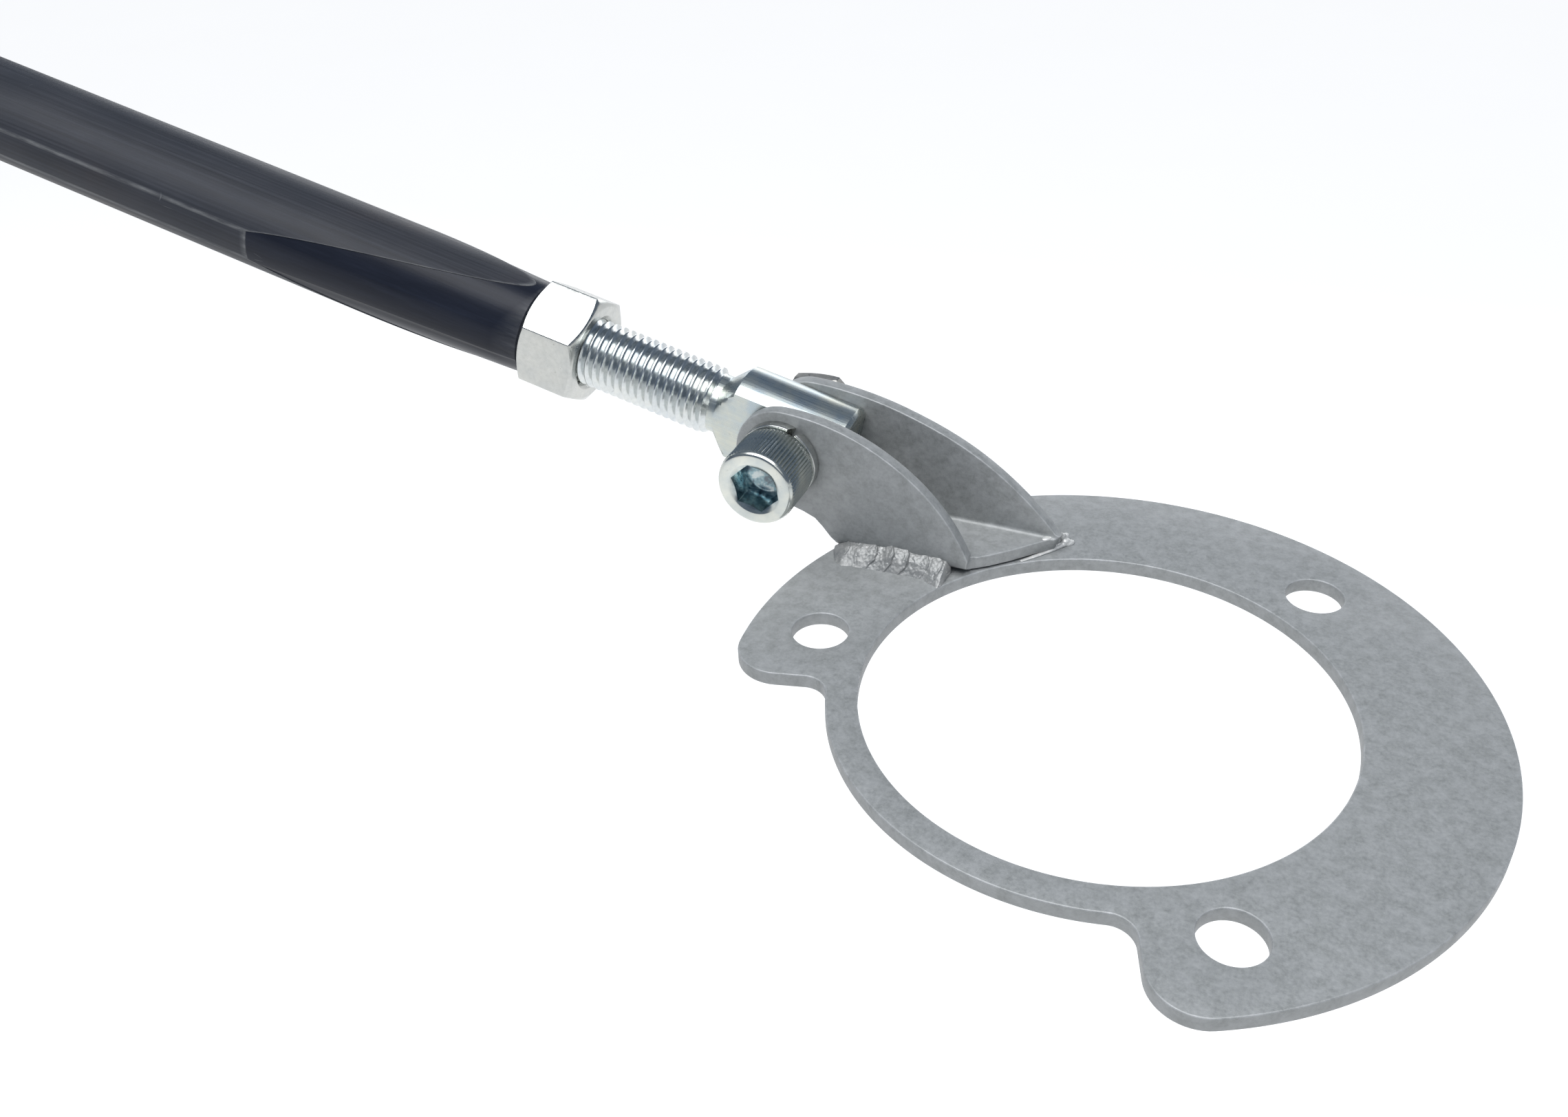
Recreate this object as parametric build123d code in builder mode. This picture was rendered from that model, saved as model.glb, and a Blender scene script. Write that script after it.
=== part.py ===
"""Aircraft tow bar: a three-hole ring plate with a welded clevis channel, an eye
rod pivoting in the clevis on a socket-head screw, a jam nut, an oval bar turned
to a cone at both ends, and a T-handle with two rubber grips.

Frame: the origin is the centre of the ring opening on the plate's underside,
+Z is up and square to the plate, and the bar runs away along -X.
"""
from build123d import *
from math import sin, cos, tan, radians, sqrt, pi
import os

os.makedirs("parts", exist_ok=True)

# ----------------------------------------------------------------- dimensions
# ring plate (laser-cut sheet)
PLATE_T = 3.2            # plate thickness
RING_R = 48.0            # radius of the central opening
RIM_R = 54.4             # outer radius of the narrow part of the ring
PLATE_R = 75.0           # outer radius of the wide part
BOLT_PCR = 60.0          # radius of the bolt circle
BOLT_HOLE_R = 6.0        # bolt hole radius
HOLE_ANGLES = (180.0, 56.25, -56.25)
LOBE_FROM = -70.85       # the wide part runs from this angle ...
LOBE_TO = 194.7          # ... round to this one
LOBE_OUTER_FILLET = 9.0
LOBE_INNER_FILLET = 5.0
EDGE_BREAK = 0.3

# clevis channel (bent sheet)
SHEET = 3.0
GAP = 14.2               # between the two ears
MID_Y = 38.85            # mid-plane of the clevis
BEND_IN = 1.0            # inner bend radius
BEND_OUT = BEND_IN + SHEET
Y_NEAR_OUT = MID_Y - GAP / 2 - SHEET
Y_NEAR_IN = MID_Y - GAP / 2
Y_FAR_IN = MID_Y + GAP / 2
Y_FAR_OUT = MID_Y + GAP / 2 + SHEET
WEB_REAR_X = -68.6
PIN_X = -81.0
PIN_H = 21.8             # pivot height above the plate's top face
PIN_Z = PLATE_T + PIN_H
BOSS_R = 11.2            # round end of the near ear about the pivot
BOSS_R_FAR = 10.1        # the far ear is cut a little smaller
EAR_HOLE_R = 6.25

# pivot fasteners, M12
SCREW_R = 6.0
SCREW_HEAD_R = 9.0
SCREW_HEAD_H = 12.0
SCREW_LENGTH = 30.0
SOCKET_AF = 10.0
SOCKET_DEPTH = 6.0
LOCK_WASHER_R = 9.05
LOCK_WASHER_T = 2.5
SPLIT_ANGLE = 62.0
NUT12_AF = 18.0
NUT12_H = 4.0             # low nut
NUT12_ROLL = 4.0
BUSH_R = 7.5
BUSH_BORE_R = 6.05

# eye rod, M16
EL = 13.0                # elevation of the bar above the plate's plane
EYE_R = 11.0             # round body
EYE_FLATS = 13.6         # across the two flats that sit in the clevis
EYE_FRONT = -12.0        # distances along the bar axis from the pivot
EYE_REAR = 14.8
NECK_AT = 19.0
NECK_R = 6.8
THREAD_AT = 21.0
STUD_R = 8.0
STUD_END = 103.0
FIT = 0.05               # radial running clearance

# jam nuts, M16
NUT16_AF = 24.0
NUT16_H = 14.8
NUT_AT = 53.0            # front face of the front jam nut
NUT_ROLL = 31.0          # one corner stands at this angle about the bar

# bar (oval extrusion with turned ends)
BAR_AT = NUT_AT + NUT16_H + 0.3
BAR_LENGTH = 900.0
BAR_END = BAR_AT + BAR_LENGTH
BAR_HALF_W = 14.6        # half width of the oval
BAR_HALF_H = 11.4        # half height of the oval
BAR_SIDE_R = 14.3        # the rounded sides
CONE_LENGTH = 74.0
CONE_END_R = 11.3
BAR_BORE_R = 7.0
TAP_DEPTH = 55.0

# T-handle
STEM_IN = 40.0           # stem inside the bar
STEM_OUT = 50.0          # bar end to the handle tube's axis
TUBE_R = 12.5
TUBE_WALL = 2.0
TUBE_LENGTH = 360.0
GRIP_R = 16.5
GRIP_LENGTH = 122.0
GRIP_FLANGE_R = 20.5
GRIP_FLANGE_T = 4.5
PLUG_HEAD_T = 4.0

# ------------------------------------------------------------------ axes
PIVOT = Vector(PIN_X, MID_Y, PIN_Z)
A = Vector(-cos(radians(EL)), 0, sin(radians(EL)))      # along the bar
U = Vector(sin(radians(EL)), 0, cos(radians(EL)))       # up, square to the bar
bar_axis = Axis(PIVOT, A)


def along(s):
    """Plane square to the bar, s from the pivot; local x is -Y, local y is up."""
    return Plane(origin=PIVOT + A * s, x_dir=(0, -1, 0), z_dir=A)


# plane through the bar axis, for turned profiles: local x along the bar
turning = Plane(origin=PIVOT, x_dir=A, z_dir=(0, -1, 0))
# plane across the pivot: local x = X, local y = Z, looking along +Y
side = Plane(origin=(0, 0, 0), x_dir=(1, 0, 0), z_dir=(0, -1, 0))

# =================================================================== hub plate
with BuildPart() as hub_plate:
    with BuildSketch(Plane.XY) as plate_outline:
        with BuildLine():
            sweep_arc = CenterArc((0, 0), PLATE_R, LOBE_FROM, LOBE_TO - LOBE_FROM)
            Line(sweep_arc @ 1, (0, 0))
            Line((0, 0), sweep_arc @ 0)
        make_face()
        Circle(RIM_R)
        Circle(RING_R, mode=Mode.SUBTRACT)
        for a in HOLE_ANGLES:
            with Locations((BOLT_PCR * cos(radians(a)), BOLT_PCR * sin(radians(a)))):
                Circle(BOLT_HOLE_R, mode=Mode.SUBTRACT)
        corners = plate_outline.vertices().filter_by(
            lambda v: min(abs(sqrt(v.X ** 2 + v.Y ** 2) - PLATE_R), 9) < 0.05)
        fillet(corners, LOBE_OUTER_FILLET)
        roots = plate_outline.vertices().filter_by(
            lambda v: abs(sqrt(v.X ** 2 + v.Y ** 2) - RIM_R) < 0.05
            and min(abs((Vector(v.X, v.Y).get_angle(Vector(cos(radians(LOBE_FROM)), sin(radians(LOBE_FROM)))))),
                    abs((Vector(v.X, v.Y).get_angle(Vector(cos(radians(LOBE_TO)), sin(radians(LOBE_TO))))))) < 0.5)
        fillet(roots, LOBE_INNER_FILLET)
    extrude(amount=PLATE_T)
    # the outer edge is broken; the opening and the bolt holes stay sharp
    rim_edges = hub_plate.edges().filter_by(lambda e: abs(e.bounding_box().size.Z) < 1e-6).filter_by(
        lambda e: sqrt((e @ 0.5).X ** 2 + (e @ 0.5).Y ** 2) > RING_R + 0.5
        and not (e.geom_type == GeomType.CIRCLE and abs(e.radius - BOLT_HOLE_R) < 0.01))
    chamfer(rim_edges, EDGE_BREAK)
hub_plate.part.label = "hub_plate"
export_step(hub_plate.part, "parts/hub_plate.step")

# ============================================================== clevis channel
# a U section along X, then cut to the outline of each ear and of the web
ear_top_near = dict(cx=-81.6, cz=PLATE_T - 15.3, boss_r=BOSS_R)
ear_top_far = dict(cx=-82.9, cz=PLATE_T - 47.7, boss_r=BOSS_R_FAR)


def ear_outline(cx, cz, boss_r, tip_z):
    """Closed outline of one ear in the side plane, drawn as lines and arcs."""
    reach = sqrt((PIN_X - cx) ** 2 + (PIN_Z - cz) ** 2)
    big_r = reach + boss_r
    tx, tz = (PIN_X - cx) / reach, (PIN_Z - cz) / reach
    touch = (cx + tx * big_r, cz + tz * big_r)
    # the large arc ends where it meets the height of the tip
    end_x = cx + sqrt(big_r ** 2 - (tip_z - cz) ** 2)
    mid_dx = (touch[0] - cx) + (end_x - cx)
    mid_dz = (touch[1] - cz) + (tip_z - cz)
    n = sqrt(mid_dx ** 2 + mid_dz ** 2)
    middle = (cx + mid_dx / n * big_r, cz + mid_dz / n * big_r)
    # lower tangent leaves the boss where its slope is -0.33
    leave = radians(180 + 71.7)
    low = (PIN_X + boss_r * cos(leave), PIN_Z + boss_r * sin(leave))
    back = (PIN_X - boss_r, PIN_Z)
    return touch, middle, (end_x, tip_z), low, back


near = ear_outline(tip_z=PLATE_T + 4.0, **ear_top_near)
far = ear_outline(tip_z=PLATE_T + 3.0, **ear_top_far)


with BuildPart() as clevis_channel:
    with BuildSketch(Plane.YZ.offset(-100)) as u_section:
        with Locations((MID_Y, PLATE_T + 30)):
            Rectangle(GAP + 2 * SHEET, 60)
        fillet(u_section.vertices().group_by(Axis.Y)[0], BEND_OUT)
    extrude(amount=100)
    with BuildSketch(Plane.YZ.offset(-101)) as u_hollow:
        with Locations((MID_Y, PLATE_T + SHEET + 40)):
            Rectangle(GAP, 80)
        fillet(u_hollow.vertices().group_by(Axis.Y)[0], BEND_IN)
    extrude(amount=102, mode=Mode.SUBTRACT)
    # near ear: remove everything outside its outline
    with BuildSketch(side.offset(-(Y_NEAR_IN + 1.0))) as near_waste:
        with Locations((-50, 30)):
            Rectangle(140, 80)
        with BuildLine():
            top_arc = ThreePointArc(near[0], near[1], near[2])
            l1 = Line(top_arc @ 1, (-37.4, PLATE_T + 4.0))
            l2 = Line(l1 @ 1, (-37.4, PLATE_T - 1))
            l3 = Line(l2 @ 1, (WEB_REAR_X, PLATE_T - 1))
            l4 = Line(l3 @ 1, (WEB_REAR_X, PLATE_T + 2.7))
            l5 = Line(l4 @ 1, (-69.9, PLATE_T + 2.9))
            l6 = Line(l5 @ 1, (-73.4, PLATE_T + 7.4))
            l7 = Line(l6 @ 1, (-76.0, PLATE_T + 8.5))
            l8 = Line(l7 @ 1, near[3])
            ThreePointArc(near[3], near[4], near[0])
        make_face(mode=Mode.SUBTRACT)
    extrude(amount=20, mode=Mode.SUBTRACT)
    # far ear
    with BuildSketch(side.offset(-(Y_FAR_OUT + 10.0))) as far_waste:
        with Locations((-50, 30)):
            Rectangle(140, 80)
        with BuildLine():
            top_arc = ThreePointArc(far[0], far[1], far[2])
            l1 = Line(top_arc @ 1, (-21.4, PLATE_T + 3.0))
            l2 = Line(l1 @ 1, (-21.4, PLATE_T - 1))
            l3 = Line(l2 @ 1, (WEB_REAR_X, PLATE_T - 1))
            l4 = Line(l3 @ 1, (WEB_REAR_X, PLATE_T + 2.7))
            l5 = Line(l4 @ 1, (-69.9, PLATE_T + 2.9))
            l6 = Line(l5 @ 1, (-73.4, PLATE_T + 7.4))
            l7 = Line(l6 @ 1, (-76.0, PLATE_T + 9.6))
            l8 = Line(l7 @ 1, far[3])
            ThreePointArc(far[3], far[4], far[0])
        make_face(mode=Mode.SUBTRACT)
    extrude(amount=10.0 + SHEET + 1.0, mode=Mode.SUBTRACT)
    # web between the ears: oblique front edge just outside the ring opening
    with BuildSketch(Plane.XY.offset(PLATE_T - 1)) as front_waste:
        with BuildLine():
            Polyline((-37.4, Y_NEAR_OUT - 5), (-37.4, 31.6), (-21.4, 48.4), (-21.4, Y_FAR_OUT + 5),
                     (10, Y_FAR_OUT + 5), (10, Y_NEAR_OUT - 5), close=True)
        make_face()
    extrude(amount=70, mode=Mode.SUBTRACT)
    # web behind the rear edge and under the rod
    with BuildSketch(Plane.XY.offset(PLATE_T - 1)) as rear_waste:
        with Locations(((WEB_REAR_X - 20), MID_Y)):
            Rectangle(40, GAP + 2 * SHEET + 4)
    extrude(amount=1 + SHEET - 0.35, mode=Mode.SUBTRACT)
    with BuildSketch(Plane.XY.offset(PLATE_T - 1)) as rear_gap:
        with Locations(((WEB_REAR_X - 20), MID_Y)):
            Rectangle(40, GAP)
    extrude(amount=40, mode=Mode.SUBTRACT)
    # the front is flush with the ring opening, so a hub passes up through the ring
    with BuildSketch(Plane.XY.offset(PLATE_T - 1)) as opening_trim:
        RegularPolygon(RING_R + 0.4, 60, major_radius=False)
    extrude(amount=40, mode=Mode.SUBTRACT)
    # pivot holes
    with BuildSketch(side.offset(-(Y_FAR_OUT + 5))) as pivot_holes:
        with Locations((PIN_X, PIN_Z)):
            Circle(EAR_HOLE_R)
    extrude(amount=GAP + 2 * SHEET + 10, mode=Mode.SUBTRACT)
clevis_channel.part.label = "clevis_channel"
export_step(clevis_channel.part, "parts/clevis_channel.step")

# ======================================================================= welds
# fillet bead along the near bend, lying on the plate and against the ear
WELD_LEG = 4.4
WELD_TOE = 4.3
with BuildPart() as weld_near:
    with BuildSketch(Plane.YZ.offset(-66.8)) as bead:
        with BuildLine():
            p0 = (Y_NEAR_OUT - WELD_TOE, PLATE_T)
            p1 = (Y_NEAR_OUT, PLATE_T + WELD_LEG)
            p2 = (Y_NEAR_OUT, PLATE_T + BEND_OUT)
            b = radians(225)
            cy, cz = Y_NEAR_OUT + BEND_OUT, PLATE_T + BEND_OUT
            p3 = (cy + BEND_OUT * cos(b), cz + BEND_OUT * sin(b))
            pm = (cy + BEND_OUT * cos(radians(202.5)), cz + BEND_OUT * sin(radians(202.5)))
            ThreePointArc(p0, (Y_NEAR_OUT - 2.9, PLATE_T + 3.0), p1)
            Line(p1, p2)
            ThreePointArc(p2, pm, p3)
            Line(p3, (p3[0], PLATE_T))
            Line((p3[0], PLATE_T), p0)
        make_face()
    extrude(amount=26.0)
    with BuildSketch(Plane.XY.offset(PLATE_T - 1)) as bead_trim:
        RegularPolygon(RING_R + 0.4, 60, major_radius=False)
    extrude(amount=12, mode=Mode.SUBTRACT)
weld_near.part.label = "weld_near"
export_step(weld_near.part, "parts/weld_near.step")

with BuildPart() as weld_far:
    with BuildSketch(Plane.YZ.offset(-52.0)) as bead:
        with BuildLine():
            p0 = (Y_FAR_OUT + WELD_TOE, PLATE_T)
            p1 = (Y_FAR_OUT, PLATE_T + WELD_LEG)
            p2 = (Y_FAR_OUT, PLATE_T + BEND_OUT)
            cy, cz = Y_FAR_OUT - BEND_OUT, PLATE_T + BEND_OUT
            p3 = (cy + BEND_OUT * cos(radians(-45)), cz + BEND_OUT * sin(radians(-45)))
            pm = (cy + BEND_OUT * cos(radians(-22.5)), cz + BEND_OUT * sin(radians(-22.5)))
            ThreePointArc(p0, (Y_FAR_OUT + 2.9, PLATE_T + 3.0), p1)
            Line(p1, p2)
            ThreePointArc(p2, pm, p3)
            Line(p3, (p3[0], PLATE_T))
            Line((p3[0], PLATE_T), p0)
        make_face()
    extrude(amount=24.0)
weld_far.part.label = "weld_far"
export_step(weld_far.part, "parts/weld_far.step")

# tack at the far front tip of the channel
with BuildPart() as weld_tip:
    with BuildSketch(Plane.XY.offset(PLATE_T)) as tack:
        with Locations((-19.1, 48.6)):
            Circle(2.3)
    extrude(amount=2.2)
    fillet(weld_tip.faces().sort_by(Axis.Z)[-1].edges(), 1.4)
weld_tip.part.label = "weld_tip"
export_step(weld_tip.part, "parts/weld_tip.step")

# ============================================================ pivot fasteners
HEAD_SEAT_Y = Y_NEAR_OUT - LOCK_WASHER_T
with BuildPart() as pivot_screw:
    with BuildSketch(side.offset(-HEAD_SEAT_Y)):
        with Locations((PIN_X, PIN_Z)):
            Circle(SCREW_HEAD_R)
    extrude(amount=SCREW_HEAD_H)
    fillet(pivot_screw.faces().sort_by(Axis.Y)[0].edges(), 0.7)
    with BuildSketch(side.offset(-HEAD_SEAT_Y)):
        with Locations((PIN_X, PIN_Z)):
            Circle(SCREW_R)
    extrude(amount=-SCREW_LENGTH)
    chamfer(pivot_screw.faces().sort_by(Axis.Y)[-1].edges(), 1.0)
    with BuildSketch(side.offset(-(HEAD_SEAT_Y - SCREW_HEAD_H))):
        with Locations((PIN_X, PIN_Z)):
            RegularPolygon(SOCKET_AF / 2, 6, major_radius=False, rotation=44)
    extrude(amount=-SOCKET_DEPTH, mode=Mode.SUBTRACT)
pivot_screw.part.label = "pivot_screw"
export_step(pivot_screw.part, "parts/pivot_screw.step")

with BuildPart() as lock_washer:
    with BuildSketch(side.offset(-Y_NEAR_OUT)):
        with Locations((PIN_X, PIN_Z)):
            Circle(LOCK_WASHER_R)
            Circle(SCREW_R + 0.15, mode=Mode.SUBTRACT)
        with Locations(Location((PIN_X + 7.6 * cos(radians(SPLIT_ANGLE)),
                                 PIN_Z + 7.6 * sin(radians(SPLIT_ANGLE))), SPLIT_ANGLE)):
            Rectangle(6, 2.0, mode=Mode.SUBTRACT)
    extrude(amount=LOCK_WASHER_T)
lock_washer.part.label = "lock_washer"
export_step(lock_washer.part, "parts/lock_washer.step")

with BuildPart() as pivot_bush:
    with BuildSketch(side.offset(-(Y_FAR_IN - 0.05))):
        with Locations((PIN_X, PIN_Z)):
            Circle(BUSH_R)
            Circle(BUSH_BORE_R, mode=Mode.SUBTRACT)
    extrude(amount=GAP - 0.1)
pivot_bush.part.label = "pivot_bush"
export_step(pivot_bush.part, "parts/pivot_bush.step")

with BuildPart() as pivot_nut:
    with BuildSketch(side.offset(-(Y_FAR_OUT + NUT12_H))):
        with Locations((PIN_X, PIN_Z)):
            RegularPolygon(NUT12_AF / 2, 6, major_radius=False, rotation=NUT12_ROLL)
    extrude(amount=NUT12_H)
    corner = NUT12_AF / 2 / cos(radians(30))
    with BuildSketch(Plane(origin=(PIN_X, 0, PIN_Z), x_dir=(0, 1, 0), z_dir=(1, 0, 0))):
        Polygon((Y_FAR_OUT, 0), (Y_FAR_OUT, NUT12_AF / 2 - 0.3), (Y_FAR_OUT + 0.9, corner + 0.1),
                (Y_FAR_OUT + NUT12_H - 1.1, corner + 0.1), (Y_FAR_OUT + NUT12_H, NUT12_AF / 2 - 0.4),
                (Y_FAR_OUT + NUT12_H, 0), align=None)
    revolve(axis=Axis((PIN_X, 0, PIN_Z), (0, 1, 0)), mode=Mode.INTERSECT)
    with BuildSketch(side.offset(-(Y_FAR_OUT + NUT12_H + 1))):
        with Locations((PIN_X, PIN_Z)):
            Circle(SCREW_R + FIT)
    extrude(amount=NUT12_H + 2, mode=Mode.SUBTRACT)
pivot_nut.part.label = "pivot_nut"
export_step(pivot_nut.part, "parts/pivot_nut.step")

# ===================================================================== eye rod
with BuildPart() as eye_rod:
    with BuildSketch(turning):
        with BuildLine():
            Polyline((EYE_FRONT, 0), (EYE_FRONT, EYE_R - 1.0), (EYE_FRONT + 1.0, EYE_R),
                     (EYE_REAR, EYE_R), (NECK_AT, NECK_R), (THREAD_AT, NECK_R),
                     (THREAD_AT + 1.2, STUD_R), (STUD_END - 1.5, STUD_R),
                     (STUD_END, STUD_R - 1.5), (STUD_END, 0), close=True)
        make_face()
    revolve(axis=bar_axis)
    # the two flats that fit between the ears
    for sign in (-1, 1):
        with BuildSketch(Plane(origin=PIVOT + Vector(0, sign * EYE_FLATS / 2, 0), x_dir=A, z_dir=(0, sign, 0))):
            with Locations((4, 0)):
                Rectangle(40, 40)
        extrude(amount=20, mode=Mode.SUBTRACT)
    # the eye
    with BuildSketch(side.offset(-(MID_Y + 20))):
        with Locations((PIN_X, PIN_Z)):
            Circle(BUSH_R + FIT)
    extrude(amount=40, mode=Mode.SUBTRACT)
eye_rod.part.label = "eye_rod"
export_step(eye_rod.part, "parts/eye_rod.step")


# ==================================================================== jam nuts
def nut_profile(s0):
    corner = NUT16_AF / 2 / cos(radians(30))
    return [(s0, 0), (s0, NUT16_AF / 2 - 0.5), (s0 + 1.2, corner + 0.1),
            (s0 + NUT16_H - 1.2, corner + 0.1), (s0 + NUT16_H, NUT16_AF / 2 - 0.5), (s0 + NUT16_H, 0)]


with BuildPart() as jam_nut:
    with BuildSketch(along(NUT_AT)):
        RegularPolygon(NUT16_AF / 2, 6, major_radius=False, rotation=NUT_ROLL)
    extrude(amount=NUT16_H)
    with BuildSketch(turning):
        Polygon(*nut_profile(NUT_AT), align=None)
    revolve(axis=bar_axis, mode=Mode.INTERSECT)
    with BuildSketch(along(NUT_AT - 1)):
        Circle(STUD_R + FIT)
    extrude(amount=NUT16_H + 2, mode=Mode.SUBTRACT)
jam_nut.part.label = "jam_nut"
export_step(jam_nut.part, "parts/jam_nut.step")

with BuildPart() as handle_jam_nut:
    with BuildSketch(along(BAR_END)):
        RegularPolygon(NUT16_AF / 2, 6, major_radius=False, rotation=8)
    extrude(amount=NUT16_H)
    with BuildSketch(turning):
        Polygon(*nut_profile(BAR_END), align=None)
    revolve(axis=bar_axis, mode=Mode.INTERSECT)
    with BuildSketch(along(BAR_END - 1)):
        Circle(STUD_R)
    extrude(amount=NUT16_H + 2, mode=Mode.SUBTRACT)
handle_jam_nut.part.label = "handle_jam_nut"
export_step(handle_jam_nut.part, "parts/handle_jam_nut.step")

# ===================================================================== tow bar
with BuildPart() as tow_bar:
    with BuildSketch(along(BAR_AT)) as oval:
        Ellipse(BAR_HALF_W, BAR_HALF_H)
        Circle(BAR_SIDE_R, mode=Mode.INTERSECT)
    extrude(amount=BAR_LENGTH)
    # both ends turned to a cone
    with BuildSketch(turning):
        with BuildLine():
            Polyline((BAR_AT, 0), (BAR_AT, CONE_END_R), (BAR_AT + CONE_LENGTH, BAR_SIDE_R),
                     (BAR_AT + CONE_LENGTH, BAR_SIDE_R + 2), (BAR_END - CONE_LENGTH, BAR_SIDE_R + 2),
                     (BAR_END - CONE_LENGTH, BAR_SIDE_R), (BAR_END, CONE_END_R), (BAR_END, 0), close=True)
        make_face()
    revolve(axis=bar_axis, mode=Mode.INTERSECT)
    # core bore, opened to the thread size at both ends
    with BuildSketch(along(BAR_AT - 1)):
        Circle(BAR_BORE_R)
    extrude(amount=BAR_LENGTH + 2, mode=Mode.SUBTRACT)
    with BuildSketch(along(BAR_AT - 1)):
        Circle(STUD_R + FIT)
    extrude(amount=TAP_DEPTH + 1, mode=Mode.SUBTRACT)
    with BuildSketch(along(BAR_END + 1)):
        Circle(STUD_R)
    extrude(amount=-(TAP_DEPTH + 1), mode=Mode.SUBTRACT)
tow_bar.part.label = "tow_bar"
export_step(tow_bar.part, "parts/tow_bar.step")

# ==================================================================== T-handle
HANDLE_AT = BAR_END + STEM_OUT
HANDLE_C = PIVOT + A * HANDLE_AT
cross = Plane(origin=HANDLE_C, x_dir=A, z_dir=(0, -1, 0))
HALF = TUBE_LENGTH / 2

with BuildPart() as handle_tube:
    with BuildSketch(cross.offset(-HALF)):
        Circle(TUBE_R)
        Circle(TUBE_R - TUBE_WALL, mode=Mode.SUBTRACT)
    extrude(amount=TUBE_LENGTH)
    with BuildSketch(along(HANDLE_AT - TUBE_R - 2)):
        Circle(STUD_R)
    extrude(amount=TUBE_R + 2, mode=Mode.SUBTRACT)
handle_tube.part.label = "handle_tube"
export_step(handle_tube.part, "parts/handle_tube.step")

with BuildPart() as handle_stem:
    with BuildSketch(along(BAR_END - STEM_IN)):
        Circle(STUD_R)
    extrude(amount=STEM_IN + STEM_OUT - 3)
    chamfer(handle_stem.faces().sort_by(Axis.X)[-1].edges(), 1.5)
handle_stem.part.label = "handle_stem"
export_step(handle_stem.part, "parts/handle_stem.step")

with BuildPart() as handle_weld:
    with BuildSketch(turning):
        Polygon((HANDLE_AT - TUBE_R - 3.2, STUD_R), (HANDLE_AT - TUBE_R - 3.2, STUD_R + 0.8),
                (HANDLE_AT - TUBE_R + 1.2, STUD_R + 4.2), (HANDLE_AT, STUD_R + 4.2),
                (HANDLE_AT, STUD_R), align=None)
    revolve(axis=bar_axis)
    with BuildSketch(cross.offset(-30)):
        Circle(TUBE_R)
    extrude(amount=60, mode=Mode.SUBTRACT)
handle_weld.part.label = "handle_weld"
export_step(handle_weld.part, "parts/handle_weld.step")


def grip_profile(sign):
    """Turned outline of one grip: open inner flange, ribbed barrel, closed towards the end."""
    e = HALF                                    # outer end of the tube
    i = e - GRIP_LENGTH                         # inner end of the grip
    pts = [(i, TUBE_R), (i, GRIP_FLANGE_R - 1), (i + 1, GRIP_FLANGE_R), (i + GRIP_FLANGE_T, GRIP_FLANGE_R),
           (i + GRIP_FLANGE_T + 3, GRIP_R - 0.5), (i + 60, GRIP_R + 0.8), (e - 5, GRIP_R - 0.5),
           (e - 1.5, GRIP_R - 2.0), (e - 1.5, TUBE_R)]
    return [(sign * x, r) for x, r in pts]


handle_axis = Axis(HANDLE_C, (0, 1, 0))
lathe = Plane(origin=HANDLE_C, x_dir=(0, 1, 0), z_dir=A)

with BuildPart() as left_grip:
    with BuildSketch(lathe):
        Polygon(*grip_profile(-1), align=None)
    revolve(axis=handle_axis)
left_grip.part.label = "left_grip"
export_step(left_grip.part, "parts/left_grip.step")

with BuildPart() as right_grip:
    with BuildSketch(lathe):
        Polygon(*grip_profile(1), align=None)
    revolve(axis=handle_axis)
right_grip.part.label = "right_grip"
export_step(right_grip.part, "parts/right_grip.step")


def plug_profile(sign):
    """Turned outline of a tube end plug: shank inside the tube and a domed head."""
    e = HALF
    pts = [(e - 14, 0), (e - 14, TUBE_R - TUBE_WALL - 0.6), (e - 12, TUBE_R - TUBE_WALL),
           (e, TUBE_R - TUBE_WALL), (e, TUBE_R + 0.4), (e + 1.6, TUBE_R + 0.4),
           (e + PLUG_HEAD_T - 0.8, TUBE_R - 2.2), (e + PLUG_HEAD_T, TUBE_R - 5.0), (e + PLUG_HEAD_T, 0)]
    return [(sign * x, r) for x, r in pts]


with BuildPart() as left_end_plug:
    with BuildSketch(lathe):
        Polygon(*plug_profile(-1), align=None)
    revolve(axis=handle_axis)
left_end_plug.part.label = "left_end_plug"
export_step(left_end_plug.part, "parts/left_end_plug.step")

with BuildPart() as right_end_plug:
    with BuildSketch(lathe):
        Polygon(*plug_profile(1), align=None)
    revolve(axis=handle_axis)
right_end_plug.part.label = "right_end_plug"
export_step(right_end_plug.part, "parts/right_end_plug.step")

print("pivot", tuple(round(v, 3) for v in PIVOT), "axis", tuple(round(v, 6) for v in A))
print("near ear", near)
print("far ear", far)
print("handle centre", tuple(round(v, 3) for v in HANDLE_C))
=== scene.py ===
"""Visual model of the aircraft tow bar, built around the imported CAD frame."""
import math
import random

import bmesh
import bpy
from mathutils import Matrix, Vector, noise


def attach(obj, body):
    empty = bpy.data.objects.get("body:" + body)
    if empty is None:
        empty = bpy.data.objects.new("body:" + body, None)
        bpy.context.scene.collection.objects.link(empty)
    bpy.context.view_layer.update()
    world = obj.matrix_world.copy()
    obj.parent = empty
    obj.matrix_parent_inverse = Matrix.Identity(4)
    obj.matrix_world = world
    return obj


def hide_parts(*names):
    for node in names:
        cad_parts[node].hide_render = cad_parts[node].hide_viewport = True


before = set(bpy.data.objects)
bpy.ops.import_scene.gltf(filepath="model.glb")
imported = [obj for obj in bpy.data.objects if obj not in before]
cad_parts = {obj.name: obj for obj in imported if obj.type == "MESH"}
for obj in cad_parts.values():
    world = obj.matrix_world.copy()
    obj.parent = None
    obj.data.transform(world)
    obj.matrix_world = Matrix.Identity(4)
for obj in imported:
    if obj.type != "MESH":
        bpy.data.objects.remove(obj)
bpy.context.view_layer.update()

MM = 0.001
D2R = math.pi / 180

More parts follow.
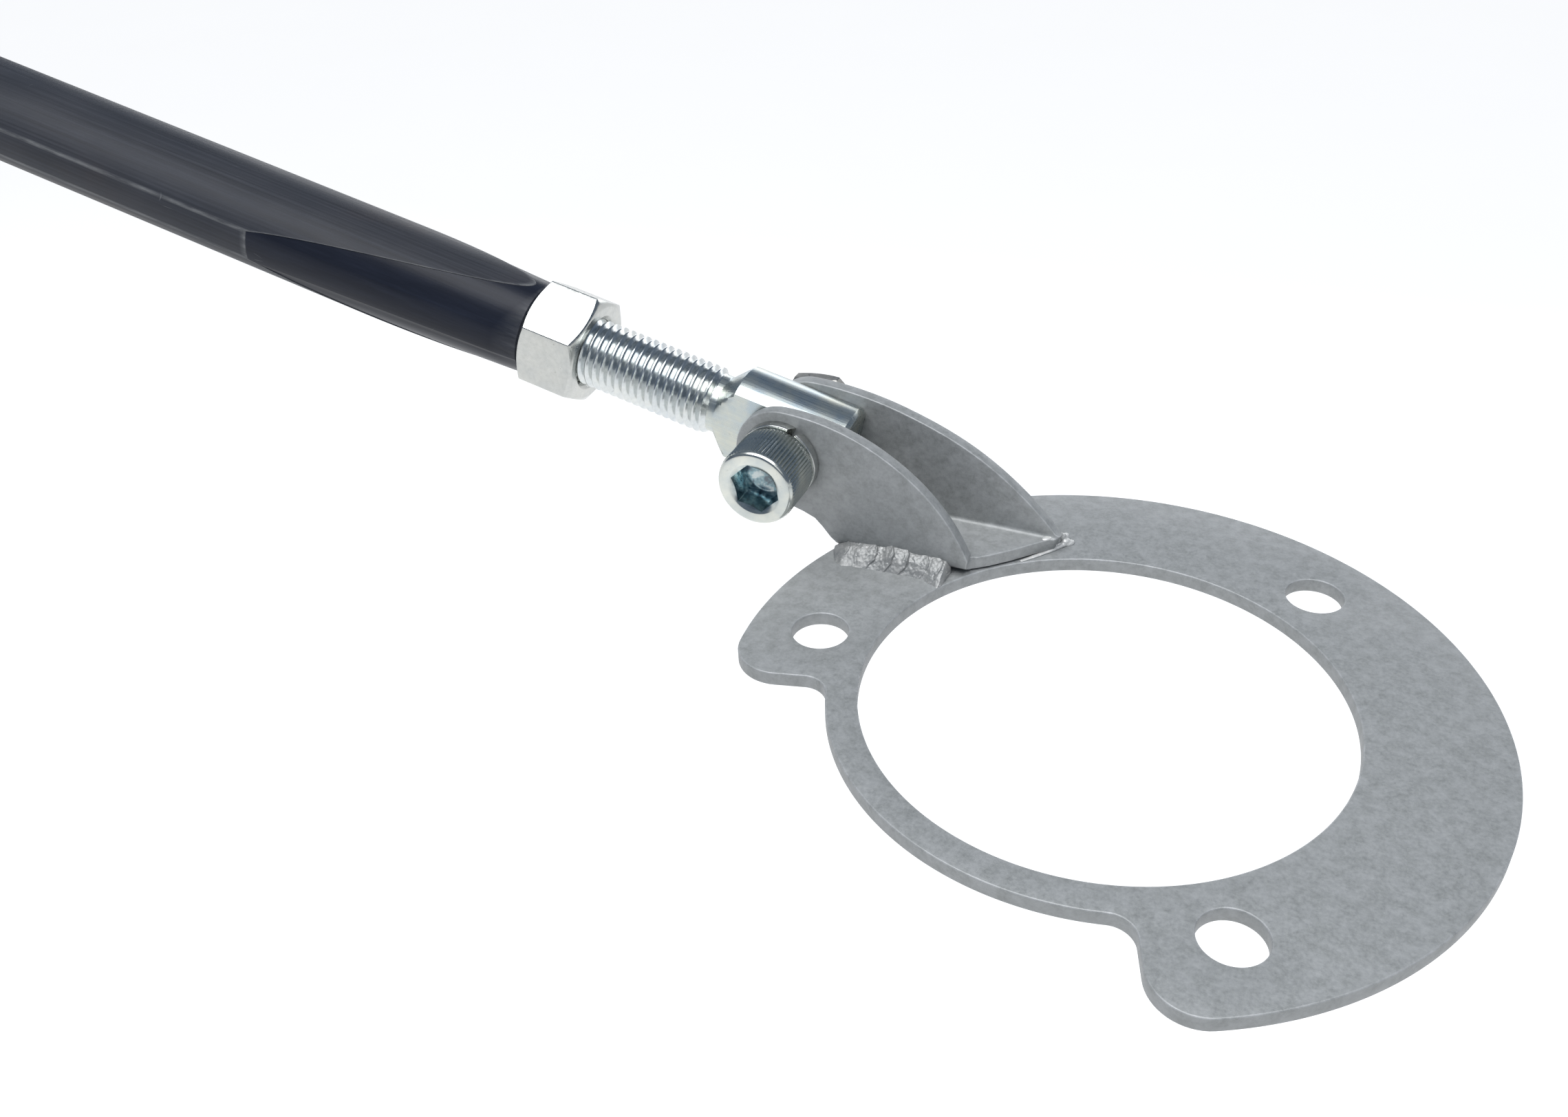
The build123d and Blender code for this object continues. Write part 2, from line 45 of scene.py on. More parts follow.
# ------------------------------------------------------------------ dimensions
PLATE_T, RING_R, RIM_R, PLATE_R = 3.2, 48.0, 54.4, 74.975
BOLT_PCR, BOLT_HOLE_R, HOLE_ANGLES = 60.0, 6.0, (180.0, 56.25, -56.25)
LOBE_FROM, LOBE_TO, F_OUT, F_IN = -70.85, 194.7, 9.0, 5.0
SHEET, GAP, MID_Y, BEND_IN = 3.0, 14.2, 38.85, 1.0
BEND_OUT = BEND_IN + SHEET
WEB_REAR_X = -68.6
PIN = Vector((-81.0, 38.85, 25.0))
BOSS_R, EAR_HOLE_R = 11.2, 6.25
EL = 13.0 * D2R
A = Vector((-math.cos(EL), 0, math.sin(EL)))
U = Vector((math.sin(EL), 0, math.cos(EL)))
NUT_AT, NUT_H, NUT_AF, NUT_ROLL = 53.0, 14.8, 24.0, 31.0
BAR_AT, BAR_LEN = 68.1, 900.0
BAR_END = BAR_AT + BAR_LEN
HANDLE_AT = BAR_END + 50.0
TUBE_R, HALF = 12.5, 180.0

# frames: "bar" has x along the bar and z up from it; "pin" has z out towards the
# screw head, x along +X and y up; "handle" has z along +Y through the T-handle
BAR_FRAME = Matrix(((A.x, 0, U.x, PIN.x * MM), (A.y, -1, U.y, PIN.y * MM), (A.z, 0, U.z, PIN.z * MM), (0, 0, 0, 1)))
PIN_FRAME = Matrix(((1, 0, 0, PIN.x * MM), (0, 0, -1, PIN.y * MM), (0, 1, 0, PIN.z * MM), (0, 0, 0, 1)))
HC = PIN + A * HANDLE_AT
HANDLE_FRAME = Matrix(((U.x, A.x, 0, HC.x * MM), (0, 0, 1, HC.y * MM), (U.z, A.z, 0, HC.z * MM), (0, 0, 0, 1)))
# keep it right-handed: x = up, y = along the bar, z = +Y
if HANDLE_FRAME.to_3x3().determinant() < 0:
    HANDLE_FRAME = Matrix(((A.x, U.x, 0, HC.x * MM), (0, 0, 1, HC.y * MM), (A.z, U.z, 0, HC.z * MM), (0, 0, 0, 1)))


# ------------------------------------------------------------------ mesh helpers
def make_object(name, verts, faces, matrix=None, sharp=35.0, attrs=None):
    me = bpy.data.meshes.new(name)
    me.from_pydata([(v[0] * MM, v[1] * MM, v[2] * MM) for v in verts], [], faces)
    me.validate()
    if attrs:
        for an, vals in attrs.items():
            at = me.attributes.new(an, "FLOAT", "POINT")
            at.data.foreach_set("value", vals)
    return finish_mesh(name, me, matrix, sharp)


def finish_mesh(name, me, matrix=None, sharp=35.0):
    bm = bmesh.new()
    bm.from_mesh(me)
    bmesh.ops.remove_doubles(bm, verts=bm.verts, dist=1e-6)
    bmesh.ops.dissolve_degenerate(bm, edges=bm.edges, dist=1e-7)
    bmesh.ops.recalc_face_normals(bm, faces=bm.faces)
    bm.to_mesh(me)
    bm.free()
    for p in me.polygons:
        p.use_smooth = True
    me.set_sharp_from_angle(angle=sharp * D2R)
    me.update()
    ob = bpy.data.objects.new(name, me)
    bpy.context.scene.collection.objects.link(ob)
    if matrix is not None:
        ob.matrix_world = matrix
    return ob


def lathe_cols(name, cols, matrix, closed_profile=False, sharp=35.0, attrs=None, wrap=True):
    """cols: equal-length point columns round an axis; the first and last points are
    poles unless the profile is closed."""
    n, m = len(cols), len(cols[0])
    verts = [p for c in cols for p in c]
    faces = []
    last = n if wrap else n - 1
    rows = m if closed_profile else m - 1
    for i in range(last):
        j = (i + 1) % n
        for k in range(rows):
            l = (k + 1) % m
            faces.append((i * m + k, j * m + k, j * m + l, i * m + l))
    return make_object(name, verts, faces, matrix, sharp, attrs)


def round_profile(pts, radii, seg=3, closed=False):
    """Rounds the corners of a 2D polyline; radii has one number a point."""
    out = []
    n = len(pts)
    for i, (p, r) in enumerate(zip(pts, radii)):
        if r <= 0 or (not closed and i in (0, n - 1)):
            out.append(p)
            continue
        a, b, c = Vector(pts[i - 1]), Vector(p), Vector(pts[(i + 1) % n])
        u, v = (a - b).normalized(), (c - b).normalized()
        half = math.acos(max(-1, min(1, u.dot(v)))) / 2
        if half > math.pi / 2 - 0.02:
            out.append(p)
            continue
        t = min(r / math.tan(half), (a - b).length * 0.49, (c - b).length * 0.49)
        rr = t * math.tan(half)
        centre = b + (u + v).normalized() * (rr / math.sin(half))
        s, e = b + u * t - centre, b + v * t - centre
        a0 = math.atan2(s.y, s.x)
        da = math.atan2(e.y, e.x) - a0
        while da > math.pi:
            da -= 2 * math.pi
        while da < -math.pi:
            da += 2 * math.pi
        for k in range(seg + 1):
            q = a0 + da * k / seg
            out.append((centre.x + rr * math.cos(q), centre.y + rr * math.sin(q)))
    return out


def revolve(name, profile, matrix, n=96, axis="x", closed_profile=False, sharp=35.0):
    """profile: (along, radius) points."""
    cols = []
    for i in range(n):
        q = 2 * math.pi * i / n
        c, s = math.cos(q), math.sin(q)
        if axis == "x":
            cols.append([(a, r * c, r * s) for a, r in profile])
        else:
            cols.append([(r * c, r * s, a) for a, r in profile])
    return lathe_cols(name, cols, matrix, closed_profile, sharp)


def hex_r(q, af, rc=0.35):
    """Polar radius of a hexagon with rounded corners; a flat faces q = 0."""
    q = (q + math.pi / 6) % (math.pi / 3) - math.pi / 6
    apothem = af / 2
    tmax = (apothem - rc) * math.tan(math.pi / 6)
    if abs(apothem * math.tan(abs(q))) <= tmax:
        return apothem / math.cos(q)
    g = math.pi / 6 - abs(q)
    d = (apothem - rc) / math.cos(math.pi / 6)
    return d * math.cos(g) + math.sqrt(max(0, rc * rc - (d * math.sin(g)) ** 2))


def hex_angles(af, rc=0.35, per_flat=7, per_corner=4):
    """Angles that land on the flats' ends and inside the rounded corners."""
    apothem = af / 2
    qf = math.atan((apothem - rc) * math.tan(math.pi / 6) / apothem)
    out = []
    for k in range(6):
        c = k * math.pi / 3
        for i in range(per_flat):
            out.append(c - qf + 2 * qf * i / (per_flat - 1))
        gap = math.pi / 3 - 2 * qf
        for i in range(1, per_corner):
            out.append(c + qf + gap * i / per_corner)
    return out


def apply_modifiers(ob):
    dg = bpy.context.evaluated_depsgraph_get()
    me = bpy.data.meshes.new_from_object(ob.evaluated_get(dg))
    ob.modifiers.clear()
    ob.data = me
    return ob


# ------------------------------------------------------------ sheet metal solids
def arc(cx, cy, r, a0, a1, step=1.5):
    n = max(2, int(abs(a1 - a0) / step))
    return [(cx + r * math.cos((a0 + (a1 - a0) * k / n) * D2R), cy + r * math.sin((a0 + (a1 - a0) * k / n) * D2R))
            for k in range(n + 1)]


def clean_loop(pts, tol=0.01):
    out = []
    for p in pts:
        if not out or math.hypot(p[0] - out[-1][0], p[1] - out[-1][1]) > tol:
            out.append(p)
    if math.hypot(out[0][0] - out[-1][0], out[0][1] - out[-1][1]) < tol:
        out.pop()
    return out


def loop_normals(loop):
    """Outward normals of a counter-clockwise loop."""
    n = len(loop)
    res = []
    for i in range(n):
        a, b, c = Vector(loop[i - 1]), Vector(loop[i]), Vector(loop[(i + 1) % n])
        d0, d1 = (b - a).normalized(), (c - b).normalized()
        n0, n1 = Vector((d0.y, -d0.x)), Vector((d1.y, -d1.x))
        m = n0 + n1
        m.normalize()
        k = max(0.5, m.dot(n0))
        res.append((m.x / k, m.y / k))
    return res


def sheet_bmesh(outer, holes, t, r=0.35, seg=3):
    """A flat sheet of thickness t with rounded cut edges. outer is counter-clockwise,
    holes are clockwise, so that their normals also point out of the metal."""
    bm = bmesh.new()
    # this weight marks the rounded cut edges, which the plate material paints lighter: partly paint wear, partly a
    # painted edge highlight
    lay = bm.verts.layers.float.new("edge_wear_and_highlight")
    tops, bottoms = [], []
    for loop in [outer] + holes:
        nr = loop_normals(loop)
        rows = []
        prof = []
        for k in range(seg + 1):
            q = math.pi / 2 * k / seg
            prof.append((r * (1 - math.sin(q)), r * (1 - math.cos(q)), 1.0 if 0 < k < seg else 0.55))
        full = [(i, z, w) for i, z, w in prof] + [(i, t - z, w) for i, z, w in reversed(prof)]
        for inset, z, w in full:
            row = []
            for p, nn in zip(loop, nr):
                v = bm.verts.new((p[0] - nn[0] * inset, p[1] - nn[1] * inset, z))
                v[lay] = w
                row.append(v)
            rows.append(row)
        n = len(loop)
        for a, b in zip(rows, rows[1:]):
            for i in range(n):
                j = (i + 1) % n
                bm.faces.new((a[i], a[j], b[j], b[i]))
        bottoms.append(rows[0])
        tops.append(rows[-1])
    bm.edges.ensure_lookup_table()
    for group in (bottoms, tops):
        edges = []
        for row in group:
            for i in range(len(row)):
                e = bm.edges.get((row[i], row[(i + 1) % len(row)]))
                edges.append(e)
        bmesh.ops.triangle_fill(bm, use_beauty=True, use_dissolve=False, edges=edges)
    bmesh.ops.recalc_face_normals(bm, faces=bm.faces)
    return bm


def plate_outline():
    al, be = LOBE_TO, LOBE_FROM + 360
    d1 = math.degrees(math.asin(F_OUT / (PLATE_R - F_OUT)))
    d2 = math.degrees(math.asin(F_IN / (RIM_R + F_IN)))
    pts = arc(0, 0, PLATE_R, LOBE_FROM + d1, al - d1, 1.0)
    c = ((PLATE_R - F_OUT) * math.cos((al - d1) * D2R), (PLATE_R - F_OUT) * math.sin((al - d1) * D2R))
    pts += arc(*c, F_OUT, al - d1, al + 90, 6)
    c = ((RIM_R + F_IN) * math.cos((al + d2) * D2R), (RIM_R + F_IN) * math.sin((al + d2) * D2R))
    pts += arc(*c, F_IN, al - 90, al + d2 - 180, 7)
    pts += arc(0, 0, RIM_R, al + d2, be - d2, 1.2)
    c = ((RIM_R + F_IN) * math.cos((be - d2) * D2R), (RIM_R + F_IN) * math.sin((be - d2) * D2R))
    pts += arc(*c, F_IN, be - d2 + 180, be + 90, 7)
    c = ((PLATE_R - F_OUT) * math.cos((be + d1) * D2R), (PLATE_R - F_OUT) * math.sin((be + d1) * D2R))
    pts += arc(*c, F_OUT, be - 90, be + d1, 6)
    return clean_loop(pts)


def build_plate():
    holes = [list(reversed(clean_loop(arc(0, 0, RING_R, 0, 360, 1.0))))]
    for a in HOLE_ANGLES:
        holes.append(list(reversed(clean_loop(arc(BOLT_PCR * math.cos(a * D2R), BOLT_PCR * math.sin(a * D2R),
                                                  BOLT_HOLE_R, 0, 360, 5)))))
    bm = sheet_bmesh(plate_outline(), holes, PLATE_T, 0.32)
    me = bpy.data.meshes.new("PlateRing")
    bm.to_mesh(me)
    bm.free()
    me.transform(Matrix.Scale(MM, 4))
    return finish_mesh("PlateRing", me, None, 40)


V_WEB = GAP / 2 - BEND_IN
V_EAR = V_WEB + math.pi / 2 * BEND_OUT


def ear_curve(cx, cz, z_end, boss=BOSS_R):
    """Points of one ear from the front tip over the top, round the boss and down to the web,
    as (x, height above the plate)."""
    hz = PIN.z - PLATE_T
    reach = math.hypot(PIN.x - cx, hz - cz)
    big = reach + boss
    a_end = math.degrees(math.asin((z_end - cz) / big))
    a_top = math.degrees(math.atan2(hz - cz, PIN.x - cx))
    pts = arc(cx, cz, big, a_end, a_top, 1.2)
    pts += arc(PIN.x, hz, boss, a_top, 180 + 71.7, 5)
    pts += [(-76.0, 8.5 if boss > 11 else 9.6), (-73.4, 7.4), (-71.6, 5.6), (-70.3, 4.0)]
    return pts


def build_channel():
    near = ear_curve(-81.6, -15.3, 4.0)
    far = ear_curve(-82.9, -47.7, 4.0, 10.1)
    # flat pattern: u along X, v developed across the section, near ear at negative v
    pts = []
    # far ear: from the web's rear corner up the ear and back down to its front tip
    for x, z in reversed(far):
        pts.append((x, V_EAR + z - 4.0))
    # front: down from the far tip through the far bend and obliquely over the web
    front = [(-21.3, 11.2), (-22.4, 7.4), (-26.5, 3.2), (-30.0, -0.6), (-33.9, -4.3), (-37.2, -6.9), (-37.9, -8.6), (-37.7, -10.2)]
    pts += front
    for x, z in near:
        pts.append((x, -(V_EAR + z - 4.0)))
    pts += [(-68.9, -10.4), (-68.6, -8.8), (-68.6, 8.8), (-68.9, 10.4)]
    pts = clean_loop(pts, 0.02)
    area = sum(a[0] * b[1] - b[0] * a[1] for a, b in zip(pts, pts[1:] + pts[:1]))
    if area < 0:
        pts.reverse()
    # finer points along the long straight runs near the bends
    fine = []
    for a, b in zip(pts, pts[1:] + pts[:1]):
        n = max(1, int(math.hypot(a[0] - b[0], a[1] - b[1]) / 1.2))
        fine += [(a[0] + (b[0] - a[0]) * k / n, a[1] + (b[1] - a[1]) * k / n) for k in range(n)]
    vh = V_EAR + (PIN.z - PLATE_T) - 4.0
    holes = [list(reversed(clean_loop(arc(PIN.x, s * vh, EAR_HOLE_R, 0, 360, 6)))) for s in (1, -1)]
    bm = sheet_bmesh(fine, holes, SHEET, 0.3)
    # cut the sheet across at the bends, then fold it up
    cuts = [s * (V_WEB + (V_EAR - V_WEB) * k / 8) for s in (-1, 1) for k in range(9)]
    for v in cuts:
        bmesh.ops.bisect_plane(bm, geom=bm.verts[:] + bm.edges[:] + bm.faces[:], dist=1e-5,
                               plane_co=(0, v, 0), plane_no=(0, 1, 0))
    bmesh.ops.triangulate(bm, faces=[f for f in bm.faces if len(f.verts) > 4])
    for vert in bm.verts:
        x, v, t = vert.co
        s = 1 if v >= 0 else -1
        v = abs(v)
        if v <= V_WEB:
            y, z = v, t
        elif v <= V_EAR:
            q = (v - V_WEB) / BEND_OUT
            y = V_WEB + (BEND_OUT - t) * math.sin(q)
            z = BEND_OUT - (BEND_OUT - t) * math.cos(q)
        else:
            y = V_WEB + BEND_OUT - t
            z = BEND_OUT + v - V_EAR
        # the front of the web stands a little off the plate
        u = min(1.0, max(0.0, (x + 58.0) / 20.0))
        vert.co = (x, MID_Y + s * y, PLATE_T + z + 0.46 * u * u * (3 - 2 * u))
    bmesh.ops.recalc_face_normals(bm, faces=bm.faces)
    me = bpy.data.meshes.new("ClevisChannel")
    bm.to_mesh(me)
    bm.free()
    me.transform(Matrix.Scale(MM, 4))
    return finish_mesh("ClevisChannel", me, None, 40)


# ------------------------------------------------------------------------ welds
def blob_weld(name, blobs, voxel=0.28, smooth=4, shrink_to=None):
    """Overlapping lumps fused into one skin: blobs are (x, y, z, rx, ry, rz, turn)."""
    bm = bmesh.new()
    for x, y, z, rx, ry, rz, turn in blobs:
        m = (Matrix.Translation((x * MM, y * MM, z * MM)) @ Matrix.Rotation(turn * D2R, 4, "Z")
             @ Matrix.Diagonal((rx * MM, ry * MM, rz * MM, 1)))
        bmesh.ops.create_icosphere(bm, subdivisions=4, radius=1.0, matrix=m)
    me = bpy.data.meshes.new(name)
    bm.to_mesh(me)
    bm.free()
    ob = bpy.data.objects.new(name, me)
    bpy.context.scene.collection.objects.link(ob)
    rm = ob.modifiers.new("skin", "REMESH")
    rm.mode = "VOXEL"
    rm.voxel_size = voxel * MM
    sm = ob.modifiers.new("soften", "SMOOTH")
    sm.factor = 0.5
    sm.iterations = smooth
    bpy.context.view_layer.update()
    apply_modifiers(ob)
    for p in ob.data.polygons:
        p.use_smooth = True
    return ob


def clip_below(ob, z):
    """Keeps what is above height z, and closes the cut."""
    bm = bmesh.new()
    bm.from_mesh(ob.data)
    r = bmesh.ops.bisect_plane(bm, geom=bm.verts[:] + bm.edges[:] + bm.faces[:], dist=1e-7,
                               plane_co=(0, 0, z * MM), plane_no=(0, 0, 1), clear_inner=True)
    edges = [e for e in bm.edges if e.is_boundary]
    if edges:
        bmesh.ops.triangle_fill(bm, use_beauty=True, edges=edges)
    bmesh.ops.recalc_face_normals(bm, faces=bm.faces)
    bm.to_mesh(ob.data)
    bm.free()
    for p in ob.data.polygons:
        p.use_smooth = True
    ob.data.set_sharp_from_angle(angle=60 * D2R)
    return ob


def fillet_weld(name, xs, toe, top, ridges, side, seed, ring_clear=0.0, rows=44, step=0.11):
    """A fillet bead as one skin: toe and top give its leg on the plate and on the ear at
    each x; the ridges are the crescent fronts of its overlapping puddles."""
    y_c = MID_Y + side * (GAP / 2 + SHEET - 1.0)
    off = Vector((seed * 7.3, seed * 1.9, seed * 4.1))

    def lerp(table, x):
        for (xa, va), (xb, vb) in zip(table, table[1:]):
            if x <= xb:
                u = min(1.0, max(0.0, (x - xa) / (xb - xa)))
                u = u * u * (3 - 2 * u)
                return va + (vb - va) * u
        return table[-1][1]

    x0, x1 = xs
    nx = int((x1 - x0) / step)
    verts, faces = [], []
    for i in range(nx + 1):
        x = x0 + (x1 - x0) * i / nx
        # the ends run out in a rounded nose
        e = min((x - x0) / 3.6, (x1 - x) / 0.9, 1.0)
        e = math.sqrt(max(0.0, 1 - (1 - e) ** 2))
        r_toe, r_top = lerp(toe, x), lerp(top, x)
        for k in range(rows + 1):
            q = math.pi * (1.0 - 0.5 * k / rows)
            c, s_ = abs(math.cos(q)), math.sin(q)
            r = 1.0 / (c / r_toe + s_ / r_top)
            r *= 1 + 0.20 * math.sin(2 * (q - math.pi / 2))
            mid = 1 - ((q - math.pi * 0.75) / (math.pi / 4)) ** 2
            # puddles climb towards their leading edge and drop off behind it
            add = 0.0
            for j, (xr, amp, width) in enumerate(ridges):
                front = xr + 1.5 * mid - 0.9 + 0.35 * noise.noise(Vector((k * 0.13, j * 3.1, seed)))
                t = (x - (front - width)) / width
                if 0 < t <= 1:
                    add = max(add, amp * (t ** 1.6))
                elif t > 1:
                    drop = 1 - (x - front) / 0.22
                    if drop > 0:
                        add = max(add, amp * drop)
            r += add * (0.35 + 0.65 * mid)
            p = Vector((x, r * c, r * s_))
            r += 0.24 * noise.noise(p * 0.33 + off) * (0.3 + 0.7 * mid)
            r += 0.16 * noise.noise(p * 0.8 + off) * (0.35 + 0.65 * mid)
            r += 0.10 * noise.noise(p * 1.7 + off)
            r += 0.05 * noise.noise(p * 3.1 + off)
            r += 0.03 * noise.noise(p * 4.5 + off)
            r = 0.35 + (max(r, 0.7) - 0.35) * e
            y = y_c + side * r * c
            px, py = x, y
            if ring_clear:
                d = math.hypot(px, py)
                if d < ring_clear:
                    px, py = px * ring_clear / d, py * ring_clear / d
            z = PLATE_T + max(0.0, r * s_)
            verts.append((px, py, z))
        verts.append((x, y_c, PLATE_T))
    m = rows + 2
    for i in range(nx):
        for k in range(m):
            l = (k + 1) % m
            faces.append((i * m + k, (i + 1) * m + k, (i + 1) * m + l, i * m + l))
    faces.append(tuple(range(m)))
    faces.append(tuple(nx * m + k for k in reversed(range(m))))
    return make_object(name, verts, faces, None, 55)


def build_near_weld():
    toe = [(-68.9, 3.6), (-66.8, 5.6), (-64.9, 6.2), (-62.5, 5.7), (-59.1, 5.2), (-55.5, 5.0), (-52.7, 4.8), (-49.0, 4.6), (-46.3, 4.9),
           (-43.9, 5.8), (-42.2, 6.7), (-40.8, 6.6)]
    top = [(-68.9, 1.2), (-66.8, 2.3), (-64.6, 3.2), (-60.7, 3.7), (-57.4, 3.7), (-54.2, 4.6), (-50.9, 4.3), (-47.7, 4.0),
           (-44.5, 4.2), (-42.2, 3.6), (-40.8, 2.2)]
    ridges = [(-65.0, 0.30, 2.6), (-58.4, 0.62, 4.2), (-54.4, 0.62, 3.4), (-50.9, 0.72, 3.0), (-46.2, 0.32, 3.4), (-43.2, 0.30, 2.4)]
    return fillet_weld("WeldNear", (-68.9, -41.2), toe, top, ridges, -1, 3, RING_R + 0.12)


def build_far_weld():
    toe = [(-52.2, 4.6), (-48.0, 5.2), (-43.0, 5.4), (-38.0, 5.1), (-33.0, 5.5), (-28.0, 4.8)]
    top = [(-52.2, 3.2), (-48.0, 4.0), (-43.0, 4.3), (-38.0, 4.1), (-33.0, 4.4), (-28.0, 3.4)]
    ridges = [(-48.9, 0.5, 3.0), (-45.6, 0.6, 3.2), (-42.2, 0.5, 3.1), (-38.8, 0.6, 3.3), (-35.5, 0.5, 3.0), (-32.2, 0.6, 3.1), (-29.6, 0.4, 2.4)]
    return fillet_weld("WeldFar", (-52.2, -28.0), toe, top, ridges, 1, 8)


def build_tip_weld():
    """Metal run in under the web's front edge towards the far tip, with a blob on each side of it."""
    rnd = random.Random(4)
    blobs = []
    a, b = Vector((-28.3, 39.9)), Vector((-20.9, 50.0))
    for i in range(27):
        u = i / 26
        p = a.lerp(b, u)
        w = 0.20 + 0.30 * u + rnd.uniform(-0.03, 0.05)
        bow = 0.35 * math.sin(math.pi * u) + 0.22
        blobs.append((p.x + 0.8 * bow + 0.10, p.y - bow * 0.6, PLATE_T + 0.12 + 0.22 * u, 0.55, w + 0.25, w, 53.8))
    blobs += [(-20.7, 49.7, PLATE_T + 0.5, 1.3, 0.8, 1.0, 50), (-20.0, 50.2, PLATE_T + 0.2, 1.4, 0.9, 0.7, 60),
              (-21.2, 50.8, PLATE_T + 0.6, 1.2, 0.9, 1.3, 70), (-21.1, 51.0, PLATE_T + 1.3, 0.8, 0.7, 0.9, 40)]
    blobs += [(-24.0, 45.5, PLATE_T + 3.50, 1.5, 0.75, 0.42, 50), (-23.2, 46.5, PLATE_T + 3.52, 1.1, 0.7, 0.55, 56),
              (-22.5, 47.5, PLATE_T + 3.4, 1.0, 0.6, 0.6, 62), (-21.9, 48.6, PLATE_T + 2.9, 0.9, 0.5, 0.7, 65),
              (-21.4, 49.7, PLATE_T + 2.0, 0.8, 0.5, 0.9, 65)]
    ob = blob_weld("WeldTip", blobs, 0.13, 5)
    return clip_below(ob, PLATE_T + 0.0)


def build_handle_weld():
    rnd = random.Random(5)
    blobs = []
    n = 17
    for i in range(n):
        q = 2 * math.pi * i / n
        rr = 9.4
        # local: x along the bar, y and z across; the joint runs round the stem on the tube's face
        yy, zz = rr * math.cos(q), rr * math.sin(q)
        # the tube runs along local y, so its face falls back only across z
        xx = HANDLE_AT - math.sqrt(max(0.0, TUBE_R ** 2 - zz ** 2))
        blobs.append((xx - 0.3, yy, zz, 2.2, 2.3, 2.3, rnd.uniform(0, 90)))
    ob = blob_weld("HandleWeld", blobs, 0.4, 3)
    ob.matrix_world = BAR_FRAME
    return ob


# -------------------------------------------------------------------- hex nuts
def build_nut(name, s0, h, af, bore, roll_deg, matrix, axis="x", cham=0.0, r_face=None, rc=0.45):
    """Hex nut with both faces chamfered; roll_deg turns a corner to that angle."""
    r_face = r_face or af / 2 * 0.955
    slope = math.tan(30 * D2R)
    angs = hex_angles(af, rc, 9, 4)
    cols = []
    for q in angs:
        hr = hex_r(q, af, rc)
        d = max(0.0, (hr - r_face) * slope)
        prof = [(s0 + 1.1, bore), (s0 + 0.12, bore + 0.95), (s0, bore + 1.15), (s0, (bore + r_face) / 2), (s0, r_face - 0.25), (s0 + 0.03, r_face - 0.02)]
        prof += [(s0 + d * 0.5 + 0.02, (hr + r_face) / 2), (s0 + d, hr - 0.12), (s0 + d + 0.16, hr)]
        prof += [(s0 + h / 2, hr)]
        prof += [(s0 + h - d - 0.16, hr), (s0 + h - d, hr - 0.12), (s0 + h - d * 0.5 - 0.02, (hr + r_face) / 2)]
        prof += [(s0 + h - 0.03, r_face - 0.02), (s0 + h, r_face - 0.25), (s0 + h, (bore + r_face) / 2), (s0 + h, bore + 1.15), (s0 + h - 0.12, bore + 0.95), (s0 + h - 1.1, bore)]
        a = q + (roll_deg + 30) * D2R
        if axis == "x":
            cols.append([(x, r * math.cos(a), r * math.sin(a)) for x, r in prof])
        else:
            cols.append([(r * math.cos(a), r * math.sin(a), x) for x, r in prof])
    return lathe_cols(name, cols, matrix, closed_profile=True, sharp=30)


# --------------------------------------------------------------------- threads
def build_thread(name, s0, s1, r_maj, depth, pitch, neck_r, lead_in, lead_out, matrix, axis="x", n=72, hand=1):
    """Helical rows, so that crest and root stay crisp. A solid rod with flat ends."""
    flank = 0.375
    rel = [(0.0, 0.0), (0.07, 0.10), (flank, 0.93), (flank + 0.06, 1.0), (1 - flank - 0.06, 1.0), (1 - flank, 0.93), (0.93, 0.10)]
    per = len(rel)
    turns = int(math.ceil((s1 - s0) / pitch)) + 2
    rows = []
    for t in range(-1, turns):
        for f, h in rel:
            rows.append((s0 + (t + f) * pitch, h))
    cols = []
    for i in range(n):
        q = 2 * math.pi * i / n
        col = [(s0, 0.0)]
        for s, h in rows:
            ss = s + hand * pitch * i / n
            r = r_maj - depth + depth * h
            sc = min(max(ss, s0), s1)
            r = min(r, neck_r + max(0.0, (sc - s0)) * lead_in)
            r = min(r, r_maj - lead_out + max(0.0, (s1 - sc)) * 1.0)
            if ss <= s0:
                r = neck_r
                sc = s0
            if ss >= s1:
                r = min(r_maj - lead_out, r_maj - depth + 0.2)
                sc = s1
            col.append((sc, r))
        col.append((s1, 0.0))
        cols.append((q, col))
    verts, faces = [], []
    m = len(rows) + 2
    for q, col in cols:
        for s, r in col:
            if axis == "x":
                verts.append((s, r * math.cos(q), r * math.sin(q)))
            else:
                verts.append((r * math.cos(q), r * math.sin(q), s))
    shift = hand * per
    for i in range(n):
        j = (i + 1) % n
        for k in range(m - 1):
            if i == n - 1:
                # the last column joins the first one a whole turn on
                a0, a1 = k, k + 1
                b0 = min(max(k + shift, 0), m - 1) if k not in (0,) else 0
                b1 = min(max(k + 1 + shift, 0), m - 1)
                if k == 0:
                    b0 = 0
                faces.append((i * m + a0, b0, b1, i * m + a1) if b0 != b1 else (i * m + a0, b0, i * m + a1))
            else:
                faces.append((i * m + k, j * m + k, j * m + k + 1, i * m + k + 1))
    return make_object(name, verts, faces, matrix, 50)


